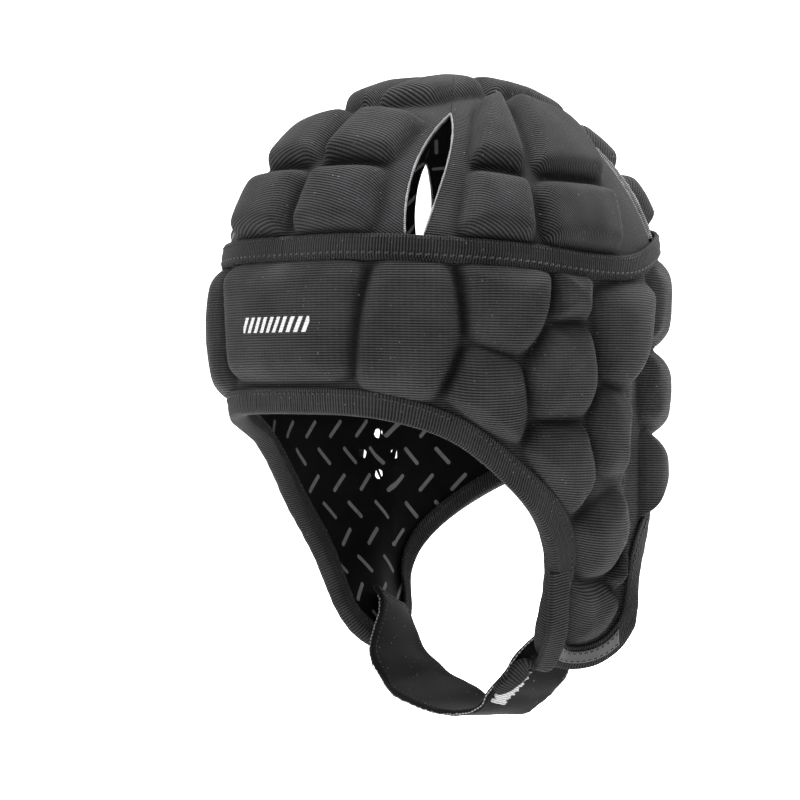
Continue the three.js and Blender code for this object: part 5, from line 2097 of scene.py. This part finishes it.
@dataclass
class FlapHem:
    """The paler tape over the near flap's end, with a dashed stitch row along either side.

    Attributes:
        first, last: stations between which it lies.
        half: of its width.
        up: of its middle from the edge.
        low, top: of its two faces over the wall.
    """

    first: float = 7.35
    last: float = 9.5
    half: float = 2.6
    up: float = 4.2
    low: float = 2.35
    top: float = 3.15

    def build(self) -> list[bpy.types.Object]:
        """Makes the tape and its stitches."""
        part = Edge.sampled(1400).between(self.first, self.last)
        section = rounded_slab(self.half, self.low, self.top, 7)
        rings = np.stack([part.at(self.up + w, out) for w, out in section], 1)
        weave = woven(part.run, section[:, 0])
        pieces = [tube_piece("flap_hem", rings, False, weave, Finish.HEM)]
        for name, up in (("upper", 5.9), ("lower", 2.4)):
            stitches = Stitches(f"flap_hem_stitches_{name}", "binding", 2.6, 1.9, 0.28)
            pieces.append(stitches.build(part.at(up, 3.2), part.normal, closed=False))
        return pieces


# The stage and the camera


@dataclass(frozen=True)
class Lamp:
    """A round soft light: where it hangs, seen from the camera, in metres, and its strength in watts."""

    name: str
    across: float
    near: float
    height: float
    size: float
    power: float


@dataclass
class Studio:
    """A pale floor that turns up into a backdrop, soft lights, and the camera of the photograph.

    Attributes:
        turn: of the camera from the front towards the wearer's left.
        shift: of the camera sideways, in millimetres.
        away: its distance.
        height: of the camera, which looks level.
        focal_share: its focal length over the width of its frame.
        glow: how much light the floor gives.
        daylight: strength of the light from all round.
        aim: height that the lamps look at, in metres.
        lamps: the lights.
    """

    turn: float = math.radians(45)
    shift: float = -23.5
    away: float = 1155.66
    height: float = -130.2
    focal_share: float = 2645 / 800
    glow: float = 0.56
    daylight: float = 0.42
    aim: float = -0.13
    lamps: tuple[Lamp, ...] = (
        Lamp("key", -0.9, 0.9, 1.0, 0.6, 39.0),
        Lamp("fill", 1.25, 0.75, 0.35, 1.1, 9.0),
        Lamp("top", 0.1, -0.1, 1.3, 0.7, 72.0),
        Lamp("rim", 1.0, -0.9, 0.55, 0.8, 16.0),
    )

    def spot(self, across: float, near: float, z: float) -> tuple[float, float, float]:
        """A point from its distance to the right of the camera's line, and towards the camera."""
        c, s = math.cos(self.turn), math.sin(self.turn)
        return across * c + near * s, across * s - near * c, z

    def floor(self, low_z: float) -> None:
        """A floor at a height in metres, with a quarter circle up to the backdrop behind."""
        g = Graph("studio_floor")
        for key, value in (
            ("Base Color", linear("#fbfbfb")), ("Roughness", 0.9), ("Emission Color", linear("#ffffff")),
            ("Emission Strength", self.glow),
        ):
            g.give(g.shader.inputs[key], value)
        turn = np.linspace(0, np.pi / 2, 12)
        back = np.concatenate([[-3.0], 1.6 + 1.2 * np.sin(turn), [2.8]])
        rise = np.concatenate([[0.0], 1.2 - 1.2 * np.cos(turn), [4.5]])
        points = [self.spot(x, -far, low_z + z) for far, z in zip(back, rise) for x in (-5.0, 5.0)]
        sweep = make_piece("studio_sweep", np.array(points) / MM, grid_faces(len(back), 2)[:, ::-1])
        sweep.data.materials.append(g.material)
        sweep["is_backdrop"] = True

    def lights(self) -> None:
        """The light from all round and the lamps."""
        world = bpy.data.worlds.new("studio_world")
        bpy.context.scene.world = world
        world.use_nodes = True
        world.node_tree.nodes["Background"].inputs[0].default_value = (1, 1, 1, 1)
        world.node_tree.nodes["Background"].inputs[1].default_value = self.daylight
        for lamp in self.lamps:
            data = bpy.data.lights.new(lamp.name, "AREA")
            data.shape, data.size, data.energy = "DISK", lamp.size, lamp.power
            light = bpy.data.objects.new(lamp.name, data)
            light.location = self.spot(lamp.across, lamp.near, lamp.height)
            way = Vector((0, 0, self.aim)) - light.location
            light.rotation_euler = way.to_track_quat("-Z", "Y").to_euler()
            bpy.context.scene.collection.objects.link(light)

    def camera(self) -> None:
        """The camera, level, with colours shown as they are."""
        data = bpy.data.cameras.new("camera")
        data.sensor_width, data.lens = 36, 36 * self.focal_share
        data.clip_start, data.clip_end = 0.05, 20
        bpy.context.scene.view_settings.view_transform = "Standard"
        eye = bpy.data.objects.new("camera", data)
        eye.location = Vector(self.spot(self.shift, self.away, self.height)) * MM
        eye.rotation_euler = (math.pi / 2, 0, self.turn)
        bpy.context.scene.collection.objects.link(eye)
        bpy.context.scene.camera = eye


def plain(box: Sequence[Sequence[float]]) -> list[list[float]]:
    """A box as lists of numbers."""
    return [[round(float(x), 5) for x in corner] for corner in box]


def main() -> None:
    """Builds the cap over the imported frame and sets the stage."""
    logging.basicConfig(level=logging.INFO, format="%(name)s: %(message)s")
    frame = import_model()
    before = plain(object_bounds())
    nodes = [str(name) for name in frame["nodes"]]
    crown = ["crown_shell"] + [name for name in nodes if name.startswith("crown_") and name != "crown_shell"]
    side = ["side_shell"] + [name for name in nodes if name.startswith("pad_")]
    parts = [
        Cover("cover_crown", Sheet.crown(124, 1.0), crown_pads(), crown),
        Cover("cover_side", Sheet.side(176, 720), side_pads(), side),
        Lining(), SeamBand(), EdgeBinding(), ChinStrap(), HookPatch(), ClosureTongue(),
        VentEdge("front_left", FRONT_VENT, 1), VentEdge("front_right", FRONT_VENT, -1),
        VentEdge("rear_left", REAR_VENT, 1), VentEdge("rear_right", REAR_VENT, -1), FlapHem(),
    ]
    for part in parts:
        made = part.build()
        for piece in made if isinstance(made, list) else [made]:
            LOG.info("%s: %d vertices", piece.name, len(piece.data.vertices))
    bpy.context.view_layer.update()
    studio = Studio()
    studio.floor(before[0][2] - 0.03)
    studio.lights()
    studio.camera()


if __name__ == "__main__":
    main()
